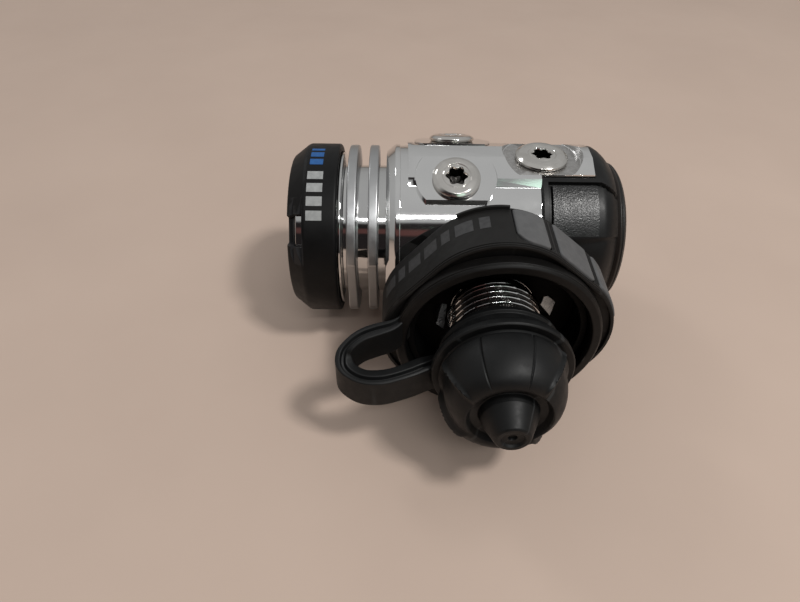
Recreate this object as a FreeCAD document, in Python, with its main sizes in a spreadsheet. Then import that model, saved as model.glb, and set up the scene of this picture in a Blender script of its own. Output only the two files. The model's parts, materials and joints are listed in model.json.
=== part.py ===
"""Scuba regulator first stage with a threaded cylinder connector and its rubber protector.

Every piece is a solid of its own in one parametric document. Three families of turned pieces
share the same way of drawing: an outline of (along, radius) points is turned about its X axis.
Body pieces run along the row's +X, connector pieces along -Y, and port plugs point outwards.
"""
import FreeCAD, Part
import os
from math import acos, asin, atan2, cos, pi, radians, sin, sqrt
import Sketcher

Vector = FreeCAD.Vector
Rotation = FreeCAD.Rotation
Placement = FreeCAD.Placement


# ---------------------------------------------------------------- driving dimensions
# Body pieces: "at_" values are stations along the body axis, from the cap's outer face.
# Connector pieces: "reach_" values are distances from the body axis along the connector.
SIZES = dict(
    # where the axes lie
    at_connector=52.4, connector_reach=71.5, axis_height=27.95, body_radius=23.4,
    at_lp_ports=43.1, at_hp_ports=66.1, lp_port_tilt=23.0, overall_length=88.0,
    # environmental cap
    cap_radius=23.6, cap_face_radius=20.4, cap_chamfer=4.35, cap_length=13.0, cap_bore=20.8,
    cap_wall=1.95, cap_skin=1.1, cap_recess=17.4, window_inner=16.4, window_depth=4.3,
    window_count=3, window_half=7.4, window_outer=26.0, window_outer_half=11.8,
    window_middle=34.3,
    # finned diaphragm clamp
    clamp_start=2.2, clamp_thread_radius=20.4, clamp_bore=15.0, flange_radius=21.3,
    flange_end=13.85, neck_radius=17.85, fin_radius=23.4, fin_one=15.3, fin_two=20.8,
    fin_width=2.5, skirt_radius=18.3, clamp_end=32.5, fin_flat=21.9, fin_edge=0.35, fin_flat_tilt=9.0,
    # pressure-sensing pieces on the body axis
    outer_skin_start=1.15, outer_skin_radius=17.3, skin_thickness=1.0,
    transmitter_start=2.2, transmitter_radius=13.6, transmitter_plate=1.6, transmitter_stem=4.4,
    adjuster_start=10.0, adjuster_end=15.6, adjuster_radius=14.93, adjuster_bore=6.8,
    spring_radius=10.4, spring_wire=1.35, spring_pitch=4.1, pad_start=30.9, pad_radius=13.2,
    pad_boss=6.0, pad_boss_length=2.0, diaphragm_start=32.55, diaphragm_radius=18.2,
    diaphragm_thickness=1.0,
    # valve body
    body_start=25.4, body_end=82.4, body_face_radius=21.8, body_chamfer=2.4,
    collar_radius=23.7, collar_end=29.0, recess_radius=18.35, recess_end=33.6,
    low_chamber=12.0, low_chamber_end=46.4, seat_bore=4.5, high_chamber=6.5,
    high_chamber_start=49.2, high_chamber_end=67.9, plug_bore=9.6, step_radius=21.6,
    at_protector=64.9, roof_start=31.0, roof_end=78.7, roof_top=25.5, roof_half=2.7,
    roof_edge=23.05, roof_edge_half=8.8, ledge_height=21.0, ledge_half=10.3, roof_base=18.6,
    crown_half=7.8, crown_edge=23.45,
    end_chamfer=1.2,
    # ports and plugs
    lp_facet=24.9, facet_radius=10.6, facet_top=6.9, facet_bottom=6.15, lp_drill=4.3,
    lp_counterbore=5.6, port_depth=7.6, lp_bottom=10.5, hp_seat_face=23.3, hp_spot=10.5,
    hp_drill=5.0, hp_counterbore=6.1, hp_bottom=12.5, passage=1.4, seal_depth=1.25,
    lp_head=6.08, lp_head_rim=0.8, lp_head_height=1.6, hp_head=6.9, hp_head_rim=1.1,
    hp_head_height=1.75, plug_dome=1.3, plug_shank_gap=0.06, socket_flats=4.8, socket_depth=4.2,
    port_seal_wire=0.5,
    # high-pressure valve
    seat_start=43.6, seat_flange=6.2, seat_shank=4.45, seat_crown=2.7, seat_crown_end=49.9,
    orifice=1.7, lifter_disc=8.0, lifter_disc_end=34.85, lifter_pin=0.95, valve_start=49.95,
    valve_head=3.7, valve_shoulder=5.6, valve_shoulder_start=54.0, valve_shoulder_end=55.6,
    valve_stem=3.0, valve_end=74.5, valve_spring_radius=4.5, valve_spring_wire=0.45,
    valve_spring_pitch=2.0, plug_start=67.95, plug_end=81.0, plug_radius=9.5, plug_hole=3.06,
    plug_hole_end=77.0, plug_socket=3.0, gland_start=70.0, gland_width=1.9, balance_gland=4.5,
    balance_seal=3.75, balance_seal_wire=0.7, plug_gland=8.0, plug_seal=8.72,
    plug_seal_wire=0.7, seat_counterbore=6.0, seat_seal_depth=1.0, seat_seal_wire=0.45,
    # protector shell at the high-pressure end
    shell_radius=24.1, shell_bore=21.85, shell_corner=80.6, shell_end=85.2, shell_end_radius=20.6,
    shell_wall_start=82.55, shell_hole=10.0, roof_slot_half=8.1, roof_slot_end=78.8,
    slot_bulge=0.3, shell_floor=14.0, end_disc_radius=19.3, end_disc_edge=0.9,
    end_boss_start=82.6,
    # connector boss, stem and retainer
    boss_radius=12.2, boss_end=26.4, boss_root=15.0, stem_thread=7.9, stem_start=14.2,
    stem_nut_start=26.45, stem_nut=9.8, stem_nut_end=29.0, stem_shaft=6.5, stem_head_start=43.9,
    stem_head=9.2, stem_end=51.4, stem_drill=2.5, filter_pocket=4.4, filter_pocket_start=42.0,
    face_gland_inner=6.2, face_gland_outer=8.3, face_gland_start=50.2, face_seal=7.25,
    face_seal_wire=0.95, stem_counterbore=9.3, stem_seal_depth=1.4, stem_seal_wire=0.62,
    retainer_start=29.3, retainer_bore=6.56, retainer_counterbore=9.3, counterbore_start=43.6,
    retainer_end=50.4, retainer_flange=14.6, retainer_flange_end=32.4, retainer_neck=10.2,
    thread_start=34.4, thread_radius=11.455, thread_pitch=1.814, thread_depth=1.16,
    thread_turns=8, thread_flat=0.44,
    # handwheel, grips and rubber protector
    wheel_back=28.4, wheel_front=41.1, wheel_half=25.2, wheel_corner=19.4, wheel_roll=49.8,
    wheel_web_start=28.9, wheel_web_end=33.0, wheel_hub=14.7, wheel_hollow=19.8,
    wheel_lip=21.4, wheel_lip_end=41.6, wheel_recess=22.9, wheel_recess_start=39.0,
    grip_floor=24.2, grip_back=29.3, grip_front=40.3, grip_raise=0.5, grip_gap=0.06,
    grip_slack=0.15, grip_one=9.5, grip_one_span=24.0, grip_two=38.5, grip_two_span=26.5,
    grip_three=70.5, grip_three_span=16.5,
    ring_back=39.1, ring_neck=22.6, ring_neck_end=41.4, ring_front=44.9, ring_radius=24.4,
    ring_bore=21.55, ring_edge=0.6,
    cover_back=46.2, cover_bore=11.75, cover_skirt=14.4, cover_flange_back=51.6,
    cover_flange=16.2, cover_flange_front=53.7, cover_dome_back=54.5, cover_dome=14.7,
    cover_shoulder=62.6, cover_shoulder_radius=13.9, cover_face=66.4, cover_face_radius=10.4,
    cover_dish=65.6, knob_root=6.3, knob_tip=3.9, cover_floor=52.5, filter_length=6.4, filter_rim=1.0,
    clip_radius=4.35, clip_inner=3.4, clip_thickness=0.6,
    # strap loop between the ring and the cover
    strap_thickness=4.2, strap_height=7.6, strap_top=1.2, strap_root_reach=43.9,
    strap_loop_x=33.4, strap_loop_reach=51.0, strap_loop_radius=5.0, strap_end_reach=52.3,
)


class Size:
    """A driving dimension, or a sum or product of some, with the text that binds it to the sheet."""

    def __init__(self, value, text):
        self.value = value
        self.text = text

    def joined(self, other, sign, value):
        return Size(value, "(%s %s %s)" % (self.text, sign, as_size(other).text))

    def __add__(self, other):
        return self.joined(other, "+", self.value + as_size(other).value)

    def __sub__(self, other):
        return self.joined(other, "-", self.value - as_size(other).value)

    def __mul__(self, other):
        return self.joined(other, "*", self.value * as_size(other).value)

    def __truediv__(self, other):
        return self.joined(other, "/", self.value / as_size(other).value)

    def __neg__(self):
        return Size(-self.value, "(0 - %s)" % self.text)


def as_size(number):
    return number if isinstance(number, Size) else Size(float(number), repr(float(number)))


class Sizes:
    """The sheet's cells by name."""

    def __init__(self, document, values):
        sheet = document.addObject("Spreadsheet::Sheet", "Sizes")
        for row, (name, value) in enumerate(values.items(), start=1):
            sheet.set("A%d" % row, name.replace("_", " "))
            sheet.set("B%d" % row, repr(value))
            sheet.setAlias("B%d" % row, name)
        document.recompute()
        for name, value in values.items():
            setattr(self, name, Size(float(value), "Sizes." + name))


doc = FreeCAD.newDocument("regulator")
D = Sizes(doc, SIZES)
finished = []


# ---------------------------------------------------------------- ways of drawing
def bind(thing, path, size):
    thing.setExpression(path, as_size(size).text)


def origin_plane(body, role):
    return next(f for f in body.Origin.OriginFeatures if f.Role == role)


def new_body(label):
    body = doc.addObject("PartDesign::Body", label)
    body.Label = label
    finished.append(body)
    return body


def new_sketch(body, role, offset=None):
    sketch = body.newObject("Sketcher::SketchObject", body.Name + "_sketch")
    sketch.AttachmentSupport = (origin_plane(body, role), [""])
    sketch.MapMode = "FlatFace"
    if offset is not None:
        sketch.AttachmentOffset = offset
    return sketch


def pin_point(sketch, geometry, end, point):
    """Hold one end of a line at a bound position; a zero puts it on the sketch's own axis."""
    for size, kind, axis in ((point[0], "DistanceX", -2), (point[1], "DistanceY", -1)):
        size = as_size(size)
        if size.value == 0:
            sketch.addConstraint(Sketcher.Constraint("PointOnObject", geometry, end, axis))
            continue
        if size.value > 0:
            rule = Sketcher.Constraint(kind, -1, 1, geometry, end, size.value)
        else:
            size = -size
            rule = Sketcher.Constraint(kind, geometry, end, -1, 1, size.value)
        bind_constraint(sketch, sketch.addConstraint(rule), size)


def bind_constraint(sketch, number, size):
    name = "size_%d" % number
    sketch.renameConstraint(number, name)
    bind(sketch, "Constraints." + name, size)


def draw_outline(sketch, points):
    """A closed outline of straight lines through bound points."""
    places = [Vector(as_size(a).value, as_size(b).value, 0) for a, b in points]
    count = len(places)
    for i in range(count):
        sketch.addGeometry(Part.LineSegment(places[i], places[(i + 1) % count]), False)
    for i in range(count):
        sketch.addConstraint(Sketcher.Constraint("Coincident", i, 2, (i + 1) % count, 1))
    for i, point in enumerate(points):
        pin_point(sketch, i, 1, point)


def draw_circle(sketch, centre, radius):
    middle = Vector(as_size(centre[0]).value, as_size(centre[1]).value, 0)
    sketch.addGeometry(Part.Circle(middle, Vector(0, 0, 1), as_size(radius).value), False)
    pin_point(sketch, 0, 3, centre)
    bind_constraint(sketch, sketch.addConstraint(
        Sketcher.Constraint("Radius", 0, as_size(radius).value)), radius)


def draw_flattened_circle(sketch, radius, top, bottom):
    """A circle about the sketch's origin, cut straight across above and below."""
    upper = asin(top.value / radius.value)
    lower = asin(bottom.value / radius.value)
    circle = Part.Circle(Vector(), Vector(0, 0, 1), radius.value)
    sides = [Part.ArcOfCircle(circle, -lower, upper),
             Part.ArcOfCircle(circle, pi - upper, pi + lower)]
    ends = [(arc.StartPoint, arc.EndPoint) for arc in sides]
    for piece in (sides[0], Part.LineSegment(ends[0][1], ends[1][0]),
                  sides[1], Part.LineSegment(ends[1][1], ends[0][0])):
        sketch.addGeometry(piece, False)
    for i in range(4):
        sketch.addConstraint(Sketcher.Constraint("Coincident", i, 2, (i + 1) % 4, 1))
    for arc in (0, 2):
        sketch.addConstraint(Sketcher.Constraint("Coincident", arc, 3, -1, 1))
    for line in (1, 3):
        sketch.addConstraint(Sketcher.Constraint("Horizontal", line))
    for rule, size in ((Sketcher.Constraint("Radius", 0, radius.value), radius),
                       (Sketcher.Constraint("DistanceY", -1, 1, 1, 1, top.value), top),
                       (Sketcher.Constraint("DistanceY", 3, 1, -1, 1, bottom.value), bottom)):
        bind_constraint(sketch, sketch.addConstraint(rule), size)


def draw_rounded_square(sketch, half, corner):
    """A square about the sketch's origin whose corners are arcs."""
    inset = (half - corner).value
    for quarter in range(4):
        turn = Rotation(Vector(0, 0, 1), 90 * quarter)
        sketch.addGeometry(Part.LineSegment(turn.multVec(Vector(half.value, -inset, 0)),
                                            turn.multVec(Vector(half.value, inset, 0))), False)
        circle = Part.Circle(turn.multVec(Vector(inset, inset, 0)), Vector(0, 0, 1), corner.value)
        sketch.addGeometry(Part.ArcOfCircle(circle, quarter * pi / 2, (quarter + 1) * pi / 2), False)
    for i in range(8):
        sketch.addConstraint(Sketcher.Constraint("Tangent", i, 2, (i + 1) % 8, 1))
    for line, direction in ((0, "Vertical"), (2, "Horizontal")):
        sketch.addConstraint(Sketcher.Constraint(direction, line))
    for arc in (3, 5, 7):
        sketch.addConstraint(Sketcher.Constraint("Equal", 1, arc))
    for rule, size in ((Sketcher.Constraint("Radius", 1, corner.value), corner),
                       (Sketcher.Constraint("DistanceX", -1, 1, 0, 1, half.value), half),
                       (Sketcher.Constraint("DistanceX", 4, 1, -1, 1, half.value), half),
                       (Sketcher.Constraint("DistanceY", -1, 1, 2, 1, half.value), half),
                       (Sketcher.Constraint("DistanceY", 6, 1, -1, 1, half.value), half)):
        bind_constraint(sketch, sketch.addConstraint(rule), size)


# ---------------------------------------------------------------- ways of making
def turned(body, outline, cut=False, frame=None, angle=360.0):
    """Turn an outline of (along, radius) points about its X axis, to add or to cut."""
    sketch = new_sketch(body, "XY_Plane", frame)
    draw_outline(sketch, outline)
    kind = "PartDesign::Groove" if cut else "PartDesign::Revolution"
    feature = body.newObject(kind, body.Name + ("_turned_cut" if cut else "_turned"))
    feature.Profile = sketch
    feature.ReferenceAxis = (sketch, ["H_Axis"])
    feature.Angle = angle
    body.Tip = feature
    return feature


def across(station, roll=0.0):
    """A frame for a sketch that lies across the X axis at a station, rolled about that axis."""
    return Placement(Vector(0, 0, as_size(station).value), Rotation(Vector(0, 0, 1), roll))


def extruded(body, draw, frame, length, cut=False, role="YZ_Plane", inwards=False):
    """Pad a drawing along its frame's Z, or cut it away; a cut may run against Z instead."""
    sketch = new_sketch(body, role, frame)
    draw(sketch)
    kind = "PartDesign::Pocket" if cut else "PartDesign::Pad"
    feature = body.newObject(kind, body.Name + ("_pocket" if cut else "_pad"))
    feature.Profile = sketch
    bind(feature, "Length", length)
    feature.Length = as_size(length).value
    feature.Reversed = cut and not inwards
    body.Tip = feature
    return feature


def repeated(body, feature, count, axis="X_Axis", angle=360.0):
    pattern = body.newObject("PartDesign::PolarPattern", feature.Name + "_round")
    pattern.Originals = [feature]
    pattern.Axis = (origin_plane(body, axis), [""])
    pattern.Angle = angle
    pattern.Occurrences = int(count)
    body.Tip = pattern


def mirrored(body, feature, role):
    mirror = body.newObject("PartDesign::Mirrored", feature.Name + "_mirror")
    mirror.Originals = [feature]
    mirror.MirrorPlane = (origin_plane(body, role), [""])
    body.Tip = mirror


def turned_piece(label, outline, place):
    body = new_body(label)
    turned(body, outline)
    place(body)
    return body


def tube(start, end, outer, inner):
    return [(start, inner), (start, outer), (end, outer), (end, inner)]


def rod(start, end, radius):
    return tube(start, end, radius, 0)


def seal(label, station, radius, wire, place):
    """An O-ring, a torus whose axis is the family's X axis."""
    ring = doc.addObject("Part::Torus", label)
    ring.Label = label
    bind(ring, "Radius1", radius)
    bind(ring, "Radius2", wire)
    place(ring, station, Rotation(Vector(0, 1, 0), 90))
    return ring


def coil(label, start, radius, wire, pitch, length):
    """A coil spring on the body axis."""
    body = new_body(label)
    sketch = new_sketch(body, "XY_Plane")
    draw_circle(sketch, (start, radius), wire)
    helix = body.newObject("PartDesign::AdditiveHelix", body.Name + "_helix")
    helix.Profile = sketch
    helix.ReferenceAxis = (sketch, ["H_Axis"])
    helix.Mode = "pitch-height-angle"
    bind(helix, "Pitch", pitch)
    bind(helix, "Height", length)
    body.Tip = helix
    on_body_axis(body)
    return body


# ---------------------------------------------------------------- where pieces stand
LEFT = -(D.overall_length / 2)
MIDDLE_Y = (D.connector_reach - D.shell_radius) / 2


def place_on_row(piece, x, y, z, rotation):
    piece.Placement = Placement(Vector(x.value, y.value, z.value), rotation)
    for letter, size in (("x", x), ("y", y), ("z", z)):
        bind(piece, "Placement.Base." + letter, size)


def on_body_axis(piece, station=0.0, turn=Rotation()):
    """Local X runs along the body, from the environmental cap's outer face towards +X."""
    place_on_row(piece, LEFT + station, MIDDLE_Y, D.axis_height, turn)


def on_connector_axis(piece, reach=0.0, turn=Rotation()):
    """Local X runs out of the body along the connector, towards -Y."""
    place_on_row(piece, LEFT + D.at_connector, MIDDLE_Y - reach, D.axis_height,
                 Rotation(Vector(0, 0, 1), -90).multiply(turn))


class Port:
    """A port across the body: its station, its direction and the turn that points X along it."""

    def __init__(self, name, station, tilt, side, up):
        self.name = name
        self.station = station
        self.out = Vector(0, side * sin(radians(tilt)), up * cos(radians(tilt)))
        self.turn = Rotation(self.out, Vector(1, 0, 0), self.out.cross(Vector(1, 0, 0)), "XYZ")

    def frame(self):
        """Inside the body: X along the port, Y along the body."""
        return Placement(Vector(self.station.value, 0, 0), self.turn)

    def facet(self, height):
        """Inside the body: Z along the port, X along the body, at a height above the axis."""
        lie = Rotation(Vector(1, 0, 0), self.out.cross(Vector(1, 0, 0)), self.out, "ZXY")
        return Placement(Vector(self.station.value, 0, 0) + self.out * height, lie)

    def place(self, piece, height=0.0, turn=Rotation()):
        rise = as_size(height)
        place_on_row(piece, LEFT + self.station, MIDDLE_Y + rise * self.out.y,
                     D.axis_height + rise * self.out.z, self.turn.multiply(turn))


LP_PORTS = [Port("low_port_plug_%s_%s" % (depth, level), D.at_lp_ports, D.lp_port_tilt.value, side, up)
            for depth, side in (("front", -1), ("back", 1)) for level, up in (("upper", 1), ("lower", -1))]
HP_PORTS = [Port("high_port_plug_" + level, D.at_hp_ports, 0.0, 0, up)
            for level, up in (("upper", 1), ("lower", -1))]


# ---------------------------------------------------------------- the valve body
def roof_section(sketch):
    """Two sloping roof planes with a flat ridge and a bevelled ledge at each foot."""
    half = [(D.ledge_half, D.roof_base), (D.ledge_half, D.ledge_height),
            (D.roof_edge_half, D.roof_edge), (D.roof_half, D.roof_top)]
    draw_outline(sketch, half + [(-y, z) for y, z in reversed(half)])


def crown_section(sketch):
    """The roof's narrower end, which stands in the protector's slot."""
    half = [(D.crown_half, D.roof_base), (D.crown_half, D.crown_edge), (D.roof_half, D.roof_top)]
    draw_outline(sketch, half + [(-y, z) for y, z in reversed(half)])


def make_regulator_body():
    body = new_body("regulator_body")
    chamfer_foot = D.body_start + D.body_chamfer
    seat_floor = D.low_chamber_end + D.seat_seal_depth
    turned(body, [
        (D.body_start, D.recess_radius), (D.body_start, D.body_face_radius),
        (chamfer_foot, D.collar_radius), (D.collar_end, D.collar_radius),
        (D.collar_end, D.body_radius), (D.at_protector, D.body_radius),
        (D.at_protector, D.step_radius), (D.body_end - D.end_chamfer, D.step_radius),
        (D.body_end, D.step_radius - D.end_chamfer), (D.body_end, D.plug_bore),
        (D.high_chamber_end, D.plug_bore), (D.high_chamber_end, D.high_chamber),
        (D.high_chamber_start, D.high_chamber), (D.high_chamber_start, D.seat_bore),
        (seat_floor, D.seat_bore), (seat_floor, D.seat_counterbore),
        (D.low_chamber_end, D.seat_counterbore), (D.low_chamber_end, D.low_chamber),
        (D.recess_end, D.low_chamber), (D.recess_end, D.recess_radius)])
    roof = extruded(body, roof_section, across(D.roof_start), D.at_protector - D.roof_start)
    mirrored(body, roof, "XY_Plane")
    crown = extruded(body, crown_section, across(D.at_protector - 1), D.roof_end - D.at_protector + 1)
    mirrored(body, crown, "XY_Plane")
    for port in LP_PORTS:
        extruded(body, lambda sketch: draw_flattened_circle(
            sketch, D.facet_radius, D.facet_top, D.facet_bottom),
            port.facet(D.roof_base.value), D.lp_facet - D.roof_base, role="XY_Plane")
    out_of_body = Placement(Vector(D.at_connector.value, 0, 0), Rotation(Vector(0, 0, 1), -90))
    turned(body, rod(D.boss_root, D.boss_end, D.boss_radius), frame=out_of_body)
    for port in LP_PORTS:
        turned(body, port_cut(D.lp_bottom, D.lp_facet, D.lp_drill, D.lp_counterbore), True, port.frame())
    for port in HP_PORTS:
        spot = [(D.hp_seat_face, 0), (D.hp_seat_face, D.hp_spot),
                (D.axis_height + 3, D.hp_spot), (D.axis_height + 3, 0)]
        turned(body, spot, True, port.frame())
        drilled = port_cut(D.hp_bottom, D.hp_seat_face, D.hp_drill, D.hp_counterbore)
        turned(body, drilled, True, port.frame())
        turned(body, rod(D.high_chamber - 1, D.hp_bottom + 1, D.passage), True, port.frame())
    stem_hole = D.stem_thread + D.plug_shank_gap
    stem_floor = D.boss_end - D.stem_seal_depth
    turned(body, [
        (D.high_chamber - 1, 0), (D.high_chamber - 1, D.stem_drill), (D.stem_start, D.stem_drill),
        (D.stem_start, stem_hole), (stem_floor, stem_hole), (stem_floor, D.stem_counterbore),
        (D.boss_end + 1, D.stem_counterbore), (D.boss_end + 1, 0)], True, out_of_body)
    on_body_axis(body)


def port_cut(bottom, face, drill, counterbore):
    """A drilled port with a shallow counterbore for its seal, open past its face."""
    floor = face - D.seal_depth
    return [(bottom, 0), (bottom, drill), (floor, drill), (floor, counterbore),
            (face + 5, counterbore), (face + 5, 0)]


# ---------------------------------------------------------------- plugs and their seals
def draw_socket(sketch):
    """A hexagon key's socket."""
    side = D.socket_flats / 2
    corner = D.socket_flats / sqrt(3.0)
    draw_outline(sketch, [(corner, 0), (corner / 2, side), (-(corner / 2), side),
                          (-corner, 0), (-(corner / 2), -side), (corner / 2, -side)])


def make_plug(port, face, drill, head, rim, height):
    plug = new_body(port.name)
    foot = face + 0.05
    rounded = height - rim
    turned(plug, [
        (face - D.port_depth, 0), (face - D.port_depth, drill - D.plug_shank_gap),
        (foot, drill - D.plug_shank_gap), (foot, head - 0.15), (foot + 0.15, head),
        (foot + rim, head), (foot + rim + rounded * 0.6, head - D.plug_dome * 0.4),
        (foot + height, head - D.plug_dome), (foot + height, 0)])
    extruded(plug, draw_socket, across(foot + height),
             D.socket_depth, cut=True, inwards=True)
    port.place(plug)


def make_plugs():
    for port in LP_PORTS:
        make_plug(port, D.lp_facet, D.lp_drill, D.lp_head, D.lp_head_rim, D.lp_head_height)
    for port in HP_PORTS:
        make_plug(port, D.hp_seat_face, D.hp_drill, D.hp_head, D.hp_head_rim, D.hp_head_height)
    rings = []
    for ports, face, drill, bore in ((LP_PORTS, D.lp_facet, D.lp_drill, D.lp_counterbore),
                                     (HP_PORTS, D.hp_seat_face, D.hp_drill, D.hp_counterbore)):
        for port in ports:
            rings.append(seal(port.name + "_oring", face - D.seal_depth / 2,
                              (drill - D.plug_shank_gap + bore) / 2, D.port_seal_wire, port.place))
    group = doc.addObject("Part::Compound", "port_orings")
    group.Label = "port_orings"
    group.Links = rings
    finished.append(group)


# ---------------------------------------------------------------- pressure-sensing end
def make_environmental_cap():
    cap = turned_piece("environmental_cap", [
        (0, 0), (0, D.cap_face_radius), (D.cap_chamfer, D.cap_radius),
        (D.cap_length, D.cap_radius), (D.cap_length, D.cap_bore), (D.cap_wall, D.cap_bore),
        (D.cap_wall, D.cap_recess), (D.cap_skin, D.cap_recess), (D.cap_skin, 0)], on_body_axis)
    half = D.window_half
    wedge = [(D.window_inner, -half), (D.window_outer, -D.window_outer_half),
             (D.window_outer, D.window_outer_half), (D.window_inner, half)]
    window = extruded(cap, lambda sketch: draw_outline(sketch, wedge),
                      across(0, 180 - D.window_middle.value), D.window_depth, cut=True)
    repeated(cap, window, D.window_count.value)


def make_clamp():
    clamp = turned_piece("diaphragm_clamp", [
        (D.clamp_start, D.clamp_bore), (D.clamp_start, D.clamp_thread_radius),
        (D.cap_length + 0.1, D.clamp_thread_radius), (D.cap_length + 0.1, D.flange_radius),
        (D.flange_end, D.flange_radius), (D.flange_end, D.neck_radius),
        (D.fin_one, D.neck_radius), (D.fin_one, D.fin_radius - D.fin_edge),
        (D.fin_one + D.fin_edge, D.fin_radius), (D.fin_one + D.fin_width - D.fin_edge, D.fin_radius),
        (D.fin_one + D.fin_width, D.fin_radius - D.fin_edge), (D.fin_one + D.fin_width, D.neck_radius),
        (D.fin_two, D.neck_radius), (D.fin_two, D.fin_radius - D.fin_edge),
        (D.fin_two + D.fin_edge, D.fin_radius), (D.fin_two + D.fin_width - D.fin_edge, D.fin_radius),
        (D.fin_two + D.fin_width, D.fin_radius - D.fin_edge), (D.fin_two + D.fin_width, D.neck_radius),
        (D.body_start, D.neck_radius), (D.body_start, D.skirt_radius),
        (D.clamp_end, D.skirt_radius), (D.clamp_end, D.clamp_bore)], on_body_axis)
    flat = [(D.fin_flat, -D.neck_radius), (D.fin_radius + 2, -D.neck_radius),
            (D.fin_radius + 2, D.neck_radius), (D.fin_flat, D.neck_radius)]
    cut = extruded(clamp, lambda sketch: draw_outline(sketch, flat),
                   across(D.flange_end, 180 + D.fin_flat_tilt.value), D.body_start - D.flange_end, cut=True)
    repeated(clamp, cut, 2)


def make_sensing_pieces():
    turned_piece("outer_diaphragm", rod(
        D.outer_skin_start, D.outer_skin_start + D.skin_thickness, D.outer_skin_radius), on_body_axis)
    plate_end = D.transmitter_start + D.transmitter_plate
    boss_start = D.pad_start - D.pad_boss_length
    turned_piece("pressure_transmitter", [
        (D.transmitter_start, 0), (D.transmitter_start, D.transmitter_radius),
        (plate_end, D.transmitter_radius), (plate_end, D.transmitter_stem),
        (boss_start - 0.05, D.transmitter_stem), (boss_start - 0.05, 0)], on_body_axis)
    turned_piece("spring_adjuster", tube(
        D.adjuster_start, D.adjuster_end, D.adjuster_radius, D.adjuster_bore), on_body_axis)
    turned_piece("spring_pad", [
        (boss_start, 0), (boss_start, D.pad_boss), (D.pad_start, D.pad_boss),
        (D.pad_start, D.pad_radius), (D.clamp_end, D.pad_radius), (D.clamp_end, 0)], on_body_axis)
    turned_piece("main_diaphragm", rod(
        D.diaphragm_start, D.diaphragm_start + D.diaphragm_thickness, D.diaphragm_radius), on_body_axis)
    room = D.pad_start - D.adjuster_end - D.spring_wire * 2
    coil("main_spring", D.adjuster_end + D.spring_wire + 0.1, D.spring_radius, D.spring_wire,
         D.spring_pitch, room - 0.2)


# ---------------------------------------------------------------- high-pressure valve
def make_valve():
    turned_piece("valve_seat", [
        (D.seat_start, D.orifice), (D.seat_start, D.seat_flange),
        (D.low_chamber_end - 0.05, D.seat_flange), (D.low_chamber_end - 0.05, D.seat_shank),
        (D.high_chamber_start, D.seat_shank), (D.high_chamber_start, D.seat_crown),
        (D.seat_crown_end - 0.4, D.seat_crown), (D.seat_crown_end, D.orifice + 0.3),
        (D.seat_crown_end, D.orifice)], on_body_axis)
    turned_piece("valve_lifter", [
        (D.recess_end + 0.05, 0), (D.recess_end + 0.05, D.lifter_disc),
        (D.lifter_disc_end, D.lifter_disc), (D.lifter_disc_end, D.lifter_pin),
        (D.valve_start - 0.03, D.lifter_pin), (D.valve_start - 0.03, 0)], on_body_axis)
    turned_piece("valve_poppet", [
        (D.valve_start, 0), (D.valve_start, D.valve_head),
        (D.valve_shoulder_start, D.valve_head), (D.valve_shoulder_start, D.valve_shoulder),
        (D.valve_shoulder_end, D.valve_shoulder), (D.valve_shoulder_end, D.valve_stem),
        (D.valve_end, D.valve_stem), (D.valve_end, 0)], on_body_axis)
    room = D.plug_start - D.valve_shoulder_end - D.valve_spring_wire * 2
    coil("valve_spring", D.valve_shoulder_end + D.valve_spring_wire + 0.1, D.valve_spring_radius,
         D.valve_spring_wire, D.valve_spring_pitch, room - 0.2)
    gland_end = D.gland_start + D.gland_width
    plug = turned_piece("balance_plug", [
        (D.plug_start, D.plug_hole), (D.plug_start, D.plug_radius),
        (D.gland_start, D.plug_radius), (D.gland_start, D.plug_gland),
        (gland_end, D.plug_gland), (gland_end, D.plug_radius),
        (D.plug_end, D.plug_radius), (D.plug_end, 0), (D.plug_hole_end, 0),
        (D.plug_hole_end, D.plug_hole), (gland_end, D.plug_hole), (gland_end, D.balance_gland),
        (D.gland_start, D.balance_gland), (D.gland_start, D.plug_hole)], on_body_axis)
    extruded(plug, draw_socket, across(D.plug_end), D.plug_socket,
             cut=True, inwards=True)
    finished.append(seal("seat_oring", D.low_chamber_end + D.seat_seal_depth / 2,
                         (D.seat_shank + D.seat_counterbore) / 2, D.seat_seal_wire, on_body_axis))
    middle = D.gland_start + D.gland_width / 2
    finished.append(seal("balance_oring", middle, D.balance_seal, D.balance_seal_wire, on_body_axis))
    finished.append(seal("balance_plug_oring", middle, D.plug_seal, D.plug_seal_wire, on_body_axis))


# ---------------------------------------------------------------- protector at the other end
def make_protector():
    shell = turned_piece("body_protector", [
        (D.at_protector + 0.05, D.shell_bore), (D.at_protector + 0.05, D.shell_radius),
        (D.shell_corner, D.shell_radius), (D.shell_corner + 2, D.shell_radius - 0.6),
        (D.shell_corner + 3.6, D.shell_radius - 1.9), (D.shell_end, D.shell_end_radius),
        (D.shell_end, D.shell_hole), (D.shell_wall_start, D.shell_hole),
        (D.shell_wall_start, D.shell_bore)], on_body_axis)
    reach = D.axis_height
    start = D.at_protector - 1
    slot = [(start, -D.roof_slot_half), (D.roof_slot_end, -D.roof_slot_half),
            (D.roof_slot_end + D.slot_bulge, 0), (D.roof_slot_end, D.roof_slot_half),
            (start, D.roof_slot_half)]
    cut = extruded(shell, lambda sketch: draw_outline(sketch, slot),
                   Placement(Vector(0, 0, D.shell_floor.value), Rotation()), reach, True, "XY_Plane")
    mirrored(shell, cut, "XY_Plane")
    edge = D.end_disc_edge
    turned_piece("protector_end_cap", [
        (D.end_boss_start, 0), (D.end_boss_start, D.shell_hole - 0.1),
        (D.shell_end + 0.05, D.shell_hole - 0.1), (D.shell_end + 0.05, D.end_disc_radius),
        (D.overall_length - edge, D.end_disc_radius), (D.overall_length, D.end_disc_radius - edge),
        (D.overall_length, 0)], on_body_axis)


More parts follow.
